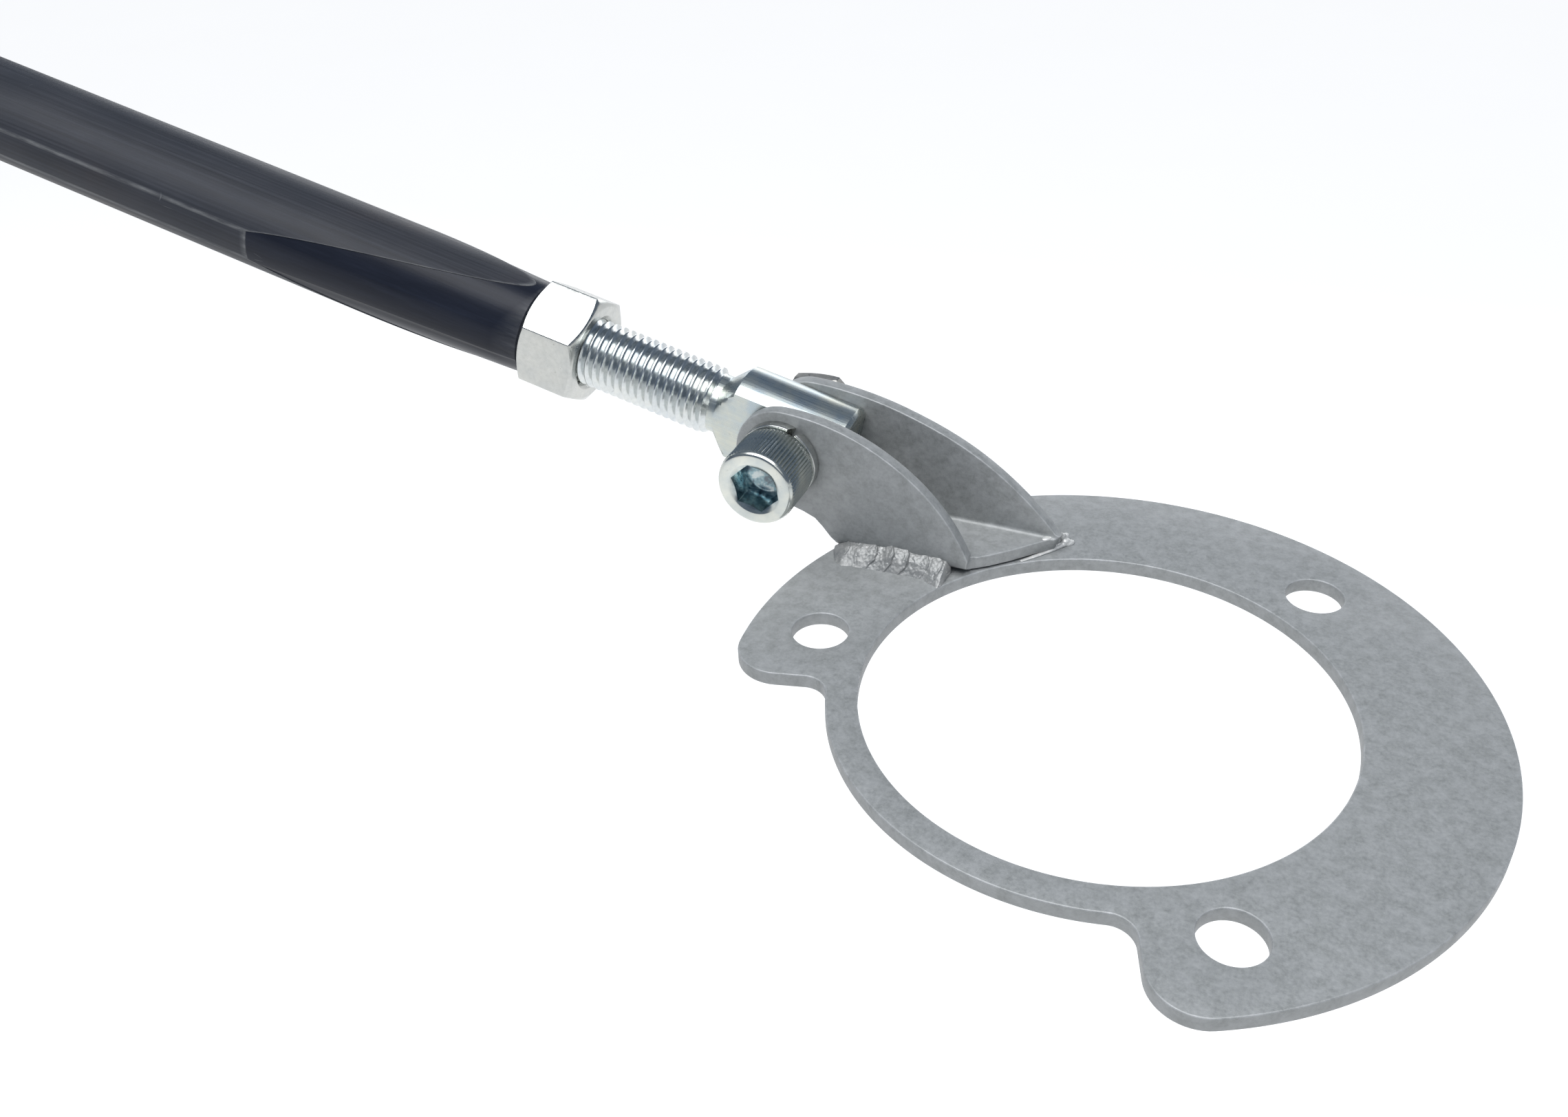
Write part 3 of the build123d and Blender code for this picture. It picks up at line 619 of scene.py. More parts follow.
# --------------------------------------------------------------------- eye rod
def build_eye_rod():
    prof = round_profile([(-12.0, 0.0), (-12.0, 10.1), (-11.1, 11.0), (14.8, 11.0), (19.0, 6.8), (23.0, 6.8), (23.0, 0.0)],
                         [0, 0.25, 0.25, 0.35, 0.9, 0, 0], 4)
    dense = []
    for (a, ra), (b, rb) in zip(prof, prof[1:]):
        n = max(1, int(abs(b - a) / 1.0))
        dense += [(a + (b - a) * k / n, ra + (rb - ra) * k / n) for k in range(n)]
    dense.append(prof[-1])
    flat = 6.8
    # angles that land exactly on the flats' edges
    qe = math.acos(flat / 11.0)
    angs = []
    for base, span, n in ((-qe, 2 * qe, 18), (qe, math.pi - 2 * qe, 22), (math.pi - qe, 2 * qe, 18), (math.pi + qe, math.pi - 2 * qe, 22)):
        angs += [base + span * k / n for k in range(n)]
    cols = []
    for q in angs:
        c, s = math.cos(q), math.sin(q)
        col = []
        for a, r in dense:
            y, z = r * c, r * s
            lim = flat
            if abs(y) > lim:
                y = math.copysign(lim, y)
            col.append((a, y, z))
        cols.append(col)
    ob = lathe_cols("EyeRod", cols, BAR_FRAME, sharp=28)
    # the eye: a bore across the flats
    cut = revolve("eye_cutter", [(-12, 0), (-12, 7.55), (12, 7.55), (12, 0)], PIN_FRAME, 64, axis="z")
    bl = ob.modifiers.new("eye", "BOOLEAN")
    bl.operation = "DIFFERENCE"
    bl.solver = "EXACT"
    bl.object = cut
    bpy.context.view_layer.update()
    mw = ob.matrix_world.copy()
    apply_modifiers(ob)
    ob.matrix_world = mw
    bpy.data.objects.remove(cut)
    for p in ob.data.polygons:
        p.use_smooth = True
    ob.data.set_sharp_from_angle(angle=28 * D2R)
    bv = ob.modifiers.new("edges", "BEVEL")
    bv.width = 0.28 * MM
    bv.segments = 2
    bv.limit_method = "ANGLE"
    bv.angle_limit = 40 * D2R
    bv.harden_normals = False
    return ob


# ------------------------------------------------------------------------- bar
SIDE_R, HALF_W, HALF_H = 14.3, 14.6, 11.4


def oval_r(q):
    """Section radius; q is measured from the side (local y)."""
    e = 1 / math.sqrt((math.cos(q) / HALF_W) ** 2 + (math.sin(q) / HALF_H) ** 2)
    return min(e, SIDE_R)


def build_bar():
    x2 = (1 - SIDE_R ** 2 / HALF_H ** 2) / (1 / HALF_W ** 2 - 1 / HALF_H ** 2)
    qc = math.atan2(math.sqrt(SIDE_R ** 2 - x2), math.sqrt(x2))
    angs = []
    blocks = [(-qc, 2 * qc, 12), (qc, math.pi - 2 * qc, 54), (math.pi - qc, 2 * qc, 12), (math.pi + qc, math.pi - 2 * qc, 54)]
    for base, span, n in blocks:
        for k in range(n):
            angs.append(base + span * k / n)
            if k == 0:
                # a narrow band each side of the corner, painted lighter: partly wear, partly a painted edge highlight
                angs.append(base + 0.35 / SIDE_R)
            if k == n - 1:
                angs.append(base + span - 0.35 / SIDE_R)
    angs = sorted(set(round(a, 9) for a in angs))
    cone_l, cone_r = 74.0, 11.3
    cols, wear_and_highlight, cone = [], [], []
    for q in angs:
        ro = oval_r(q)
        frac = (ro - cone_r) / (SIDE_R - cone_r)
        sc = max(1.2, cone_l * frac)
        step = 0.22 if frac < 0.985 else 0.10
        # the cone is turned a little deep, so the oval stands proud of it at the crease
        dc = 0.22 * min(1.0, max(0.0, (0.985 - frac) / 0.05)) if frac < 0.985 else 0.0
        dc = max(dc, 0.05)

        def end_rows(sign, at):
            rows = [(at + sign * 0.0, cone_r - 0.55 - dc, 0.0, 1.0), (at + sign * 0.35, cone_r - 0.12 - dc, 0.3, 1.0)]
            for k in range(1, 13):
                u = k / 12
                s = 0.9 + (sc - 0.9) * u
                r = cone_r + (SIDE_R - cone_r) * s / cone_l - dc
                rows.append((at + sign * s, min(r, ro), 0.0, 1.0))
            # the crease line where the cone meets the oval is painted lighter: partly wear, partly a painted edge
            # highlight
            rows.append((at + sign * (sc + 0.12), ro - 0.09, 0.8, 0.0))
            rows.append((at + sign * (sc + 0.32), ro - 0.015, 1.0, 0.0))
            rows.append((at + sign * (sc + 0.95), ro, 0.45, 0.0))
            rows.append((at + sign * (sc + 1.9), ro, 0.0, 0.0))
            return rows

        rows = end_rows(1, BAR_AT)
        a, b = BAR_AT + sc + 1.9, BAR_END - sc - 1.9
        for k in range(1, 30):
            rows.append((a + (b - a) * k / 30, ro, 0.0, 0.0))
        rows += list(reversed(end_rows(-1, BAR_END)))
        # the inside: tapped ends and the core bore
        rows += [(BAR_END, 8.9, 0, 1), (BAR_END - 0.9, 8.02, 0, 1), (BAR_END - 55, 8.02, 0, 0), (BAR_END - 55.5, 7.0, 0, 0),
                 (BAR_AT + 55.5, 7.0, 0, 0), (BAR_AT + 55, 8.08, 0, 0), (BAR_AT + 0.9, 8.08, 0, 1), (BAR_AT, 8.9, 0, 1)]
        c, s_ = math.cos(q), math.sin(q)
        cols.append([(x, r * c, r * s_) for x, r, w, k in rows])
        # the section's corners are painted lighter: partly wear, partly a painted edge highlight
        dq = min(abs(((q - t + math.pi) % (2 * math.pi)) - math.pi) for t in (qc, -qc, math.pi - qc, math.pi + qc))
        corner = 1.0 if dq * SIDE_R < 0.1 else (0.65 if dq * SIDE_R < 0.45 else 0.0)
        wear_and_highlight += [max(w, corner if (k == 0 and r > 9) else 0.0) for x, r, w, k in rows]
        cone += [float(k) for x, r, w, k in rows]
    return lathe_cols("TowBarOval", cols, BAR_FRAME, closed_profile=True, sharp=9,
                      attrs={"worn_and_edge_highlight": wear_and_highlight, "turned": cone})


# --------------------------------------------------------------- pivot hardware
def build_screw_head():
    """Socket head with a straight-knurled side, in the pin frame (z towards the viewer)."""
    top, seat, r_out = 24.6, 12.6, 9.0
    teeth, per = 66, 4
    n = teeth * per
    af, roll = 10.0, 14.0 * D2R
    cols, deep = [], []
    for i in range(n):
        q = 2 * math.pi * i / n
        ridge = (0.0, 0.75, 1.0, 0.75)[i % per]
        rk = r_out - 0.02 - 0.42 * (1 - ridge)
        hr = hex_r(q - roll, af, 0.15)
        mouth = 6.15
        prof = [(top - 7.6, 0.0), (top - 6.2, 3.6), (top - 6.0, 4.3), (top - 6.0, hr)]
        d = max(0.05, (mouth - hr) * 0.62)
        prof += [(top - d - 0.9, hr), (top - d, hr), (top - 0.04, mouth - 0.04), (top, mouth + 0.1)]
        prof += [(top, 7.0), (top, 7.9), (top - 0.06, 8.22), (top - 0.24, 8.5), (top - 0.62, 8.74), (top - 0.95, 8.83)]
        prof += [(top - 1.15, rk - 0.04), (top - 1.5, rk), (seat + 1.3, rk), (seat + 0.9, rk - 0.08)]
        prof += [(seat + 0.6, 8.62), (seat + 0.12, 8.5), (seat, 8.3), (seat, 6.0), (seat - 1, 6.0), (seat - 23.9, 6.0), (seat - 23.9, 0.0)]
        cols.append([(r * math.cos(q), r * math.sin(q), z) for z, r in prof])
        # these weights mark the socket, which the zinc material paints darker and bluer: painted shade
        deep += [(0.8, 0.9, 1.0, 1.0, 0.85, 0.5)[k] if k < 6 else 0.0 for k in range(len(prof))]
    return lathe_cols("PivotScrew", cols, PIN_FRAME, sharp=38, attrs={"recess": deep})


def build_lock_washer():
    """One coil of square wire, cut on a slant; the two ends stand slightly apart."""
    n = 90
    gap = 7.0
    a0, a1 = 62.0 + gap, 62.0 - gap + 360.0
    sect = round_profile([(6.2, 0.0), (9.05, 0.0), (9.05, 2.3), (6.2, 2.3)], [0.25] * 4, 3, closed=True)
    verts, faces = [], []
    m = len(sect)
    for i in range(n + 1):
        u = i / n
        for r, z in sect:
            # the slanted cut: the ends lean with height
            q = (a0 + (a1 - a0) * u + (z - 1.15) * (4.0 if u in (0.0, 1.0) else 0.0)) * D2R
            zz = 10.1 + z + 0.2 * u
            verts.append((r * math.cos(q), r * math.sin(q), zz))
    for i in range(n):
        for k in range(m):
            l = (k + 1) % m
            faces.append((i * m + k, (i + 1) * m + k, (i + 1) * m + l, i * m + l))
    faces.append(tuple(range(m)))
    faces.append(tuple(n * m + k for k in reversed(range(m))))
    return make_object("LockWasher", verts, faces, PIN_FRAME, 35)


# -------------------------------------------------------------------- T-handle
def build_tube():
    ri = TUBE_R - 2.0
    prof = [(-HALF, ri), (-HALF, TUBE_R), (HALF, TUBE_R), (HALF, ri)]
    prof = round_profile(prof, [0.2] * 4, 2, closed=True)
    return revolve("HandleTube", prof, HANDLE_FRAME, 96, "z", closed_profile=True)


def build_grip(name, sign):
    """Ribbed rubber grip with a thumb flange at its inner end."""
    e = HALF
    i = e - 122.0
    pts = [(i, 12.52), (i, 19.6), (i + 0.9, 20.5), (i + 3.6, 20.5), (i + 4.5, 19.6), (i + 7.5, 16.2)]
    pts = round_profile(pts, [0, 0.7, 0.7, 0.7, 0.7, 0], 3)

    def body(x):
        u = (x - (i + 7.5)) / (e - 5 - (i + 7.5))
        return 15.7 + 1.25 * math.sin(math.pi * min(1, max(0, u))) ** 0.8

    x = i + 9.0
    while x < e - 14:
        b = body(x)
        pts += [(x, b - 0.75), (x + 0.35, b - 0.1), (x + 0.8, b + 0.1), (x + 1.7, b + 0.1), (x + 2.15, b - 0.1), (x + 2.5, b - 0.75), (x + 2.9, b - 0.85)]
        x += 3.3
    b = body(x)
    pts += [(x, b - 0.7), (x + 0.6, b + 0.05), (e - 6.0, 15.9), (e - 3.2, 15.3), (e - 1.9, 14.2), (e - 1.5, 13.0), (e - 1.5, 12.52)]
    pts = [(sign * p, r) for p, r in pts]
    return revolve(name, pts, HANDLE_FRAME, 96, "z", closed_profile=True, sharp=50)


def build_plug(name, sign):
    e = HALF
    pts = [(e - 14, 0), (e - 14, 9.6), (e - 12, 10.45), (e, 10.45), (e, 12.8), (e + 1.6, 12.8), (e + 3.0, 11.2), (e + 3.75, 8.0), (e + 4.0, 4.0), (e + 4.0, 0)]
    pts = round_profile(pts, [0, 0.4, 0.4, 0, 0.35, 0.5, 0.9, 2.0, 2.0, 0], 3)
    pts = [(sign * p, r) for p, r in pts]
    return revolve(name, pts, HANDLE_FRAME, 72, "z")


# ------------------------------------------------------------------- materials
def new_material(name):
    m = bpy.data.materials.new(name)
    m.use_nodes = True
    nt = m.node_tree
    return m, nt, nt.nodes["Principled BSDF"]


def nd(nt, kind, **kw):
    n = nt.nodes.new(kind)
    for k, v in kw.items():
        setattr(n, k, v)
    return n


def object_coords(nt, scale=(1, 1, 1), loc=(0, 0, 0), own=True):
    """Coordinates in the piece's own frame, in metres; own is for meshes made here."""
    mp = nd(nt, "ShaderNodeMapping")
    mp.inputs["Scale"].default_value = scale
    mp.inputs["Location"].default_value = loc
    if own:
        at = nd(nt, "ShaderNodeAttribute", attribute_name="loc")
        nt.links.new(at.outputs["Vector"], mp.inputs["Vector"])
    else:
        tc = nd(nt, "ShaderNodeTexCoord")
        nt.links.new(tc.outputs["Object"], mp.inputs["Vector"])
    return mp.outputs["Vector"]


def noise_tex(nt, vec, scale, detail=3.0, rough=0.55):
    n = nd(nt, "ShaderNodeTexNoise")
    n.inputs["Scale"].default_value = scale
    n.inputs["Detail"].default_value = detail
    n.inputs["Roughness"].default_value = rough
    nt.links.new(vec, n.inputs["Vector"])
    return n.outputs["Fac"]


def ramp(nt, fac, stops):
    r = nd(nt, "ShaderNodeValToRGB")
    el = r.color_ramp.elements
    while len(el) < len(stops):
        el.new(0.5)
    for e, (p, c) in zip(el, stops):
        e.position = p
        e.color = (*c, 1) if len(c) == 3 else c
    nt.links.new(fac, r.inputs["Fac"])
    return r.outputs["Color"]


def grey_ramp(nt, fac, p0, v0, p1, v1):
    return ramp(nt, fac, [(p0, (v0,) * 3), (p1, (v1,) * 3)])


def mix_color(nt, fac, a, b, mode="MIX"):
    m = nd(nt, "ShaderNodeMix", data_type="RGBA", blend_type=mode)
    for sock, val in ((m.inputs[0], fac), (m.inputs[6], a), (m.inputs[7], b)):
        if isinstance(val, (int, float)):
            sock.default_value = val
        elif isinstance(val, tuple):
            sock.default_value = (*val, 1) if len(val) == 3 else val
        else:
            nt.links.new(val, sock)
    return m.outputs[2]


def math_node(nt, op, a, b=0.0, clamp=False):
    m = nd(nt, "ShaderNodeMath", operation=op, use_clamp=clamp)
    for sock, val in ((m.inputs[0], a), (m.inputs[1], b)):
        if isinstance(val, (int, float)):
            sock.default_value = val
        else:
            nt.links.new(val, sock)
    return m.outputs[0]


def attribute(nt, name):
    a = nd(nt, "ShaderNodeAttribute", attribute_name=name)
    return a.outputs["Fac"]


def add_bump(nt, bsdf, height, strength, dist, normal=None):
    b = nd(nt, "ShaderNodeBump")
    b.inputs["Strength"].default_value = strength
    b.inputs["Distance"].default_value = dist
    nt.links.new(height, b.inputs["Height"])
    if normal is not None:
        nt.links.new(normal, b.inputs["Normal"])
    nt.links.new(b.outputs["Normal"], bsdf.inputs["Normal"])
    return b.outputs["Normal"]


def mat_plate():
    m, nt, b = new_material("SilverPaint")
    v = object_coords(nt)
    cloud = noise_tex(nt, v, 45, 4, 0.6)
    grain = noise_tex(nt, v, 1250, 3, 0.65)
    speck = noise_tex(nt, v, 3600, 2, 0.5)
    base = ramp(nt, cloud, [(0.3, (0.228, 0.239, 0.236)), (0.7, (0.230, 0.241, 0.238))])
    g = grey_ramp(nt, grain, 0.30, 0.76, 0.72, 1.26)
    col = mix_color(nt, 0.75, base, g, "MULTIPLY")
    g2 = grey_ramp(nt, speck, 0.62, 0.0, 0.78, 1.0)
    col = mix_color(nt, math_node(nt, "MULTIPLY", g2, 0.12), col, (0.46, 0.47, 0.48))
    # lighter cut edges: partly paint wear, partly a painted edge highlight
    w = attribute(nt, "edge_wear_and_highlight")
    wn = noise_tex(nt, v, 400, 4, 0.6)
    wf = math_node(nt, "MULTIPLY", w, grey_ramp(nt, wn, 0.35, 0.25, 0.65, 0.85), True)
    col = mix_color(nt, wf, col, (0.42, 0.43, 0.44))
    nt.links.new(col, b.inputs["Base Color"])
    b.inputs["Metallic"].default_value = 0.30
    nt.links.new(grey_ramp(nt, grain, 0.25, 0.42, 0.75, 0.60), b.inputs["Roughness"])
    h = math_node(nt, "ADD", math_node(nt, "MULTIPLY", grain, 1.0), math_node(nt, "MULTIPLY", speck, 0.35))
    add_bump(nt, b, h, 0.35, 0.00012)
    return m


def mat_weld(name="WeldSilver", bare=0.0):
    m, nt, b = new_material(name)
    v = object_coords(nt)
    cloud = noise_tex(nt, v, 320, 4, 0.6)
    fine = noise_tex(nt, v, 2200, 3, 0.6)
    col = ramp(nt, cloud, [(0.3, (0.215, 0.222, 0.222)), (0.55, (0.275, 0.280, 0.278)), (0.75, (0.36, 0.362, 0.356))])
    col = mix_color(nt, 0.6, col, grey_ramp(nt, fine, 0.3, 0.80, 0.7, 1.22), "MULTIPLY")
    fleck = grey_ramp(nt, noise_tex(nt, v, 1150, 3, 0.6), 0.60, 0.0, 0.66, 1.0)
    patch = grey_ramp(nt, noise_tex(nt, v, 210, 2, 0.5), 0.46, 0.0, 0.60, 1.0)
    ff = math_node(nt, "MULTIPLY", math_node(nt, "MULTIPLY", fleck, patch), 0.75, True)
    col = mix_color(nt, ff, col, (0.72, 0.72, 0.70))
    if bare:
        col = mix_color(nt, bare, col, (0.80, 0.80, 0.78))
    nt.links.new(col, b.inputs["Base Color"])
    b.inputs["Metallic"].default_value = 0.30
    nt.links.new(grey_ramp(nt, cloud, 0.3, 0.34, 0.7, 0.52), b.inputs["Roughness"])
    h = math_node(nt, "ADD", math_node(nt, "MULTIPLY", cloud, 2.0), math_node(nt, "MULTIPLY", fine, 0.25))
    add_bump(nt, b, h, 0.35, 0.00025)
    return m


def mat_zinc(name, tint_a, tint_b, rough, lines="axial", recess=False):
    m, nt, b = new_material(name)
    v = object_coords(nt)
    cloud = noise_tex(nt, v, 140, 4, 0.6)
    scale = {"axial": (60, 2600, 2600), "turned": (3200, 60, 60), "pin": (60, 60, 3000), "none": (900, 900, 900)}[lines]
    lv = object_coords(nt, scale)
    streak = noise_tex(nt, lv, 1.0, 3, 0.6)
    col = ramp(nt, cloud, [(0.32, tint_a), (0.68, tint_b)])
    col = mix_color(nt, 0.55, col, grey_ramp(nt, streak, 0.3, 0.84, 0.7, 1.08), "MULTIPLY")
    nt.links.new(col, b.inputs["Base Color"])
    b.inputs["Metallic"].default_value = 1.0
    if recess:
        # painted shade down in the socket: it is coloured darker and bluer there
        pool = noise_tex(nt, v, 420, 3, 0.6)
        blue = ramp(nt, pool, [(0.38, (0.09, 0.12, 0.15)), (0.50, (0.22, 0.34, 0.38)), (0.62, (0.52, 0.58, 0.58))])
        col = mix_color(nt, attribute(nt, "recess"), col, blue)
    scuff = noise_tex(nt, object_coords(nt, (1, 1, 1), (0.3, 0.1, 0.7)), 700, 5, 0.7)
    sf = math_node(nt, "MULTIPLY", grey_ramp(nt, scuff, 0.64, 0.0, 0.72, 1.0), 0.45, True)
    col = mix_color(nt, sf, col, (0.26, 0.27, 0.25))
    nt.links.new(col, b.inputs["Base Color"])
    rr = math_node(nt, "ADD", grey_ramp(nt, streak, 0.3, rough * 0.8, 0.7, rough * 1.25), math_node(nt, "MULTIPLY", cloud, 0.06))
    nt.links.new(rr, b.inputs["Roughness"])
    add_bump(nt, b, streak, 0.18, 0.00004)
    return m


def mat_bar():
    m, nt, b = new_material("BlackBar")
    v = object_coords(nt)
    st = noise_tex(nt, object_coords(nt, (14, 1500, 1500)), 1.0, 4, 0.62)
    st2 = noise_tex(nt, object_coords(nt, (45, 380, 380), (3, 1, 2)), 1.0, 4, 0.6)
    cloud = noise_tex(nt, v, 28, 4, 0.55)
    fine = noise_tex(nt, v, 2600, 2, 0.5)
    # extruded skin: charcoal with a brownish cast in places, streaked along its length
    skin = ramp(nt, cloud, [(0.30, (0.026, 0.029, 0.037)), (0.55, (0.032, 0.034, 0.041)), (0.78, (0.040, 0.035, 0.037))])
    skin = mix_color(nt, 0.75, skin, grey_ramp(nt, st, 0.28, 0.62, 0.72, 1.45), "MULTIPLY")
    skin = mix_color(nt, 0.5, skin, grey_ramp(nt, st2, 0.3, 0.78, 0.72, 1.28), "MULTIPLY")
    turned = ramp(nt, st2, [(0.3, (0.008, 0.010, 0.017)), (0.7, (0.013, 0.016, 0.026))])
    turned = mix_color(nt, 0.6, turned, grey_ramp(nt, st, 0.3, 0.78, 0.7, 1.25), "MULTIPLY")
    tf = attribute(nt, "turned")
    col = mix_color(nt, tf, skin, turned)
    # lighter edges: partly wear, partly a painted edge highlight
    w = attribute(nt, "worn_and_edge_highlight")
    wn = noise_tex(nt, object_coords(nt, (120, 900, 900), (5, 2, 1)), 1.0, 4, 0.65)
    wf = math_node(nt, "MULTIPLY", w, grey_ramp(nt, wn, 0.32, 0.12, 0.66, 0.72), True)
    col = mix_color(nt, wf, col, (0.20, 0.205, 0.21))
    # short pale scratches and specks
    vo = nd(nt, "ShaderNodeTexVoronoi", feature="DISTANCE_TO_EDGE")
    vo.inputs["Scale"].default_value = 1.0
    nt.links.new(object_coords(nt, (55, 130, 130), (2, 7, 3)), vo.inputs["Vector"])
    line = grey_ramp(nt, vo.outputs["Distance"], 0.0, 1.0, 0.006, 0.0)
    gate = grey_ramp(nt, noise_tex(nt, v, 75, 3, 0.5), 0.64, 0.0, 0.70, 1.0)
    sf = math_node(nt, "MULTIPLY", math_node(nt, "MULTIPLY", line, gate), 0.35, True)
    col = mix_color(nt, sf, col, (0.30, 0.31, 0.32))
    nt.links.new(col, b.inputs["Base Color"])
    b.inputs["Metallic"].default_value = 0.0
    b.inputs["Specular IOR Level"].default_value = 0.17
    r_skin = grey_ramp(nt, st, 0.3, 0.40, 0.7, 0.56)
    r = mix_color(nt, tf, r_skin, (0.34, 0.34, 0.34))
    nt.links.new(r, b.inputs["Roughness"])
    h = math_node(nt, "ADD", math_node(nt, "MULTIPLY", st, 1.0), math_node(nt, "MULTIPLY", fine, 0.15))
    add_bump(nt, b, h, 0.30, 0.00006)
    return m


def mat_black_paint():
    m, nt, b = new_material("HandlePaint")
    v = object_coords(nt)
    peel = noise_tex(nt, v, 900, 3, 0.55)
    cloud = noise_tex(nt, v, 35, 4, 0.6)
    scuff = noise_tex(nt, v, 170, 6, 0.7)
    col = ramp(nt, cloud, [(0.3, (0.017, 0.018, 0.021)), (0.7, (0.026, 0.027, 0.030))])
    col = mix_color(nt, math_node(nt, "MULTIPLY", grey_ramp(nt, scuff, 0.62, 0.0, 0.72, 1.0), 0.35), col, (0.09, 0.09, 0.09))
    nt.links.new(col, b.inputs["Base Color"])
    nt.links.new(grey_ramp(nt, cloud, 0.3, 0.30, 0.7, 0.44), b.inputs["Roughness"])
    add_bump(nt, b, peel, 0.25, 0.00008)
    return m


def mat_rubber():
    m, nt, b = new_material("GripRubber")
    v = object_coords(nt)
    fine = noise_tex(nt, v, 1800, 3, 0.6)
    dust = noise_tex(nt, v, 60, 5, 0.65)
    col = ramp(nt, dust, [(0.3, (0.013, 0.013, 0.014)), (0.62, (0.021, 0.021, 0.022)), (0.8, (0.042, 0.041, 0.040))])
    col = mix_color(nt, 0.5, col, grey_ramp(nt, fine, 0.3, 0.75, 0.7, 1.25), "MULTIPLY")
    nt.links.new(col, b.inputs["Base Color"])
    nt.links.new(grey_ramp(nt, dust, 0.3, 0.62, 0.7, 0.80), b.inputs["Roughness"])
    b.inputs["Sheen Weight"].default_value = 0.08
    add_bump(nt, b, fine, 0.35, 0.00012)
    return m


def mat_plastic():
    m, nt, b = new_material("PlugPlastic")
    v = object_coords(nt)
    fine = noise_tex(nt, v, 2400, 3, 0.6)
    cloud = noise_tex(nt, v, 110, 3, 0.5)
    col = ramp(nt, cloud, [(0.3, (0.020, 0.020, 0.021)), (0.7, (0.030, 0.030, 0.032))])
    nt.links.new(col, b.inputs["Base Color"])
    nt.links.new(grey_ramp(nt, fine, 0.3, 0.40, 0.7, 0.55), b.inputs["Roughness"])
    add_bump(nt, b, fine, 0.3, 0.0001)
    return m


def mat_bronze():
    m, nt, b = new_material("BushBronze")
    v = object_coords(nt, own=False)
    pores = noise_tex(nt, v, 2600, 3, 0.65)
    col = ramp(nt, pores, [(0.35, (0.22, 0.14, 0.06)), (0.6, (0.42, 0.29, 0.14))])
    nt.links.new(col, b.inputs["Base Color"])
    b.inputs["Metallic"].default_value = 1.0
    nt.links.new(grey_ramp(nt, pores, 0.3, 0.35, 0.7, 0.5), b.inputs["Roughness"])
    add_bump(nt, b, pores, 0.3, 0.00008)
    return m


def give(ob, mat):
    ob.data.materials.clear()
    ob.data.materials.append(mat)
    return ob


# --------------------------------------------------------------------- assembly
M_PLATE, M_WELD, M_BARE = mat_plate(), mat_weld(), mat_weld("WeldBare", 0.62)
M_NUT = mat_zinc("ZincNut", (0.49, 0.505, 0.495), (0.58, 0.585, 0.555), 0.20, "none")
M_DULL = mat_zinc("ZincDull", (0.30, 0.29, 0.27), (0.42, 0.41, 0.38), 0.30, "none")
M_SCREW = mat_zinc("ZincScrew", (0.46, 0.51, 0.52), (0.66, 0.67, 0.61), 0.17, "pin", recess=True)
M_ROD = mat_zinc("ZincRod", (0.42, 0.49, 0.53), (0.62, 0.62, 0.53), 0.27, "axial")
M_THREAD = mat_zinc("ZincThread", (0.56, 0.60, 0.62), (0.66, 0.68, 0.66), 0.18, "none")
M_BAR, M_PAINT, M_RUBBER, M_PLASTIC, M_BUSH = mat_bar(), mat_black_paint(), mat_rubber(), mat_plastic(), mat_bronze()


def bake(ob):
    """Moves the mesh into the shared frame; its own coordinates stay in the "loc" attribute."""
    if ob.modifiers:
        bpy.context.view_layer.update()
        mw = ob.matrix_world.copy()
        apply_modifiers(ob)
        ob.matrix_world = mw
    me = ob.data
    co = [0.0] * (3 * len(me.vertices))
    me.vertices.foreach_get("co", co)
    at = me.attributes.new("loc", "FLOAT_VECTOR", "POINT")
    at.data.foreach_set("vector", co)
    me.transform(ob.matrix_world)
    ob.matrix_world = Matrix.Identity(4)


def place(ob, body, mat, slot_name, *nodes):
    bake(ob)
    give(ob, mat)
    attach(ob, body)
    if nodes:
        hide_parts(*nodes)
    return ob


place(build_plate(), "plate", M_PLATE, "plate_paint", "hub_plate")
place(build_channel(), "plate", M_PLATE, "plate_paint", "clevis_channel")
place(build_near_weld(), "plate", M_WELD, "weld_metal", "weld_near")
place(build_far_weld(), "plate", M_WELD, "weld_metal", "weld_far")
place(build_tip_weld(), "plate", M_BARE, "weld_metal", "weld_tip")
place(build_screw_head(), "plate", M_SCREW, "zinc_hardware", "pivot_screw")
place(build_thread("PivotScrewThread", -17.4, -11.3, 6.0, 0.95, 1.75, 4.6, 1.0, 0.9, PIN_FRAME, "z"),
      "plate", M_SCREW, "zinc_hardware", "pivot_screw")
place(build_lock_washer(), "plate", M_NUT, "zinc_hardware", "lock_washer")
place(build_nut("PivotNut", -14.1, 4.0, 18.0, 6.05, 4.0, PIN_FRAME, "z", rc=0.35), "plate", M_DULL, "zinc_hardware", "pivot_nut")
place(build_eye_rod(), "rod", M_ROD, "zinc_rod", "eye_rod")
place(build_thread("EyeRodThread", 20.6, 103.0, 8.0, 1.15, 2.0, 6.75, 1.0, 1.4, BAR_FRAME, "x"),
      "rod", M_THREAD, "zinc_rod", "eye_rod")
place(build_nut("JamNut", NUT_AT, NUT_H, NUT_AF, 8.05, NUT_ROLL, BAR_FRAME, "x"), "nut", M_NUT, "zinc_hardware", "jam_nut")
place(build_bar(), "bar", M_BAR, "black_bar", "tow_bar")
place(build_nut("HandleJamNut", BAR_END, NUT_H, NUT_AF, 8.0, 8.0, BAR_FRAME, "x"), "bar", M_NUT, "zinc_hardware", "handle_jam_nut")
place(build_thread("HandleStem", BAR_END - 40, BAR_END + 47.0, 8.0, 1.15, 2.0, 6.6, 1.0, 1.4, BAR_FRAME, "x"),
      "bar", M_THREAD, "zinc_rod", "handle_stem")
place(build_tube(), "bar", M_PAINT, "handle_paint", "handle_tube")
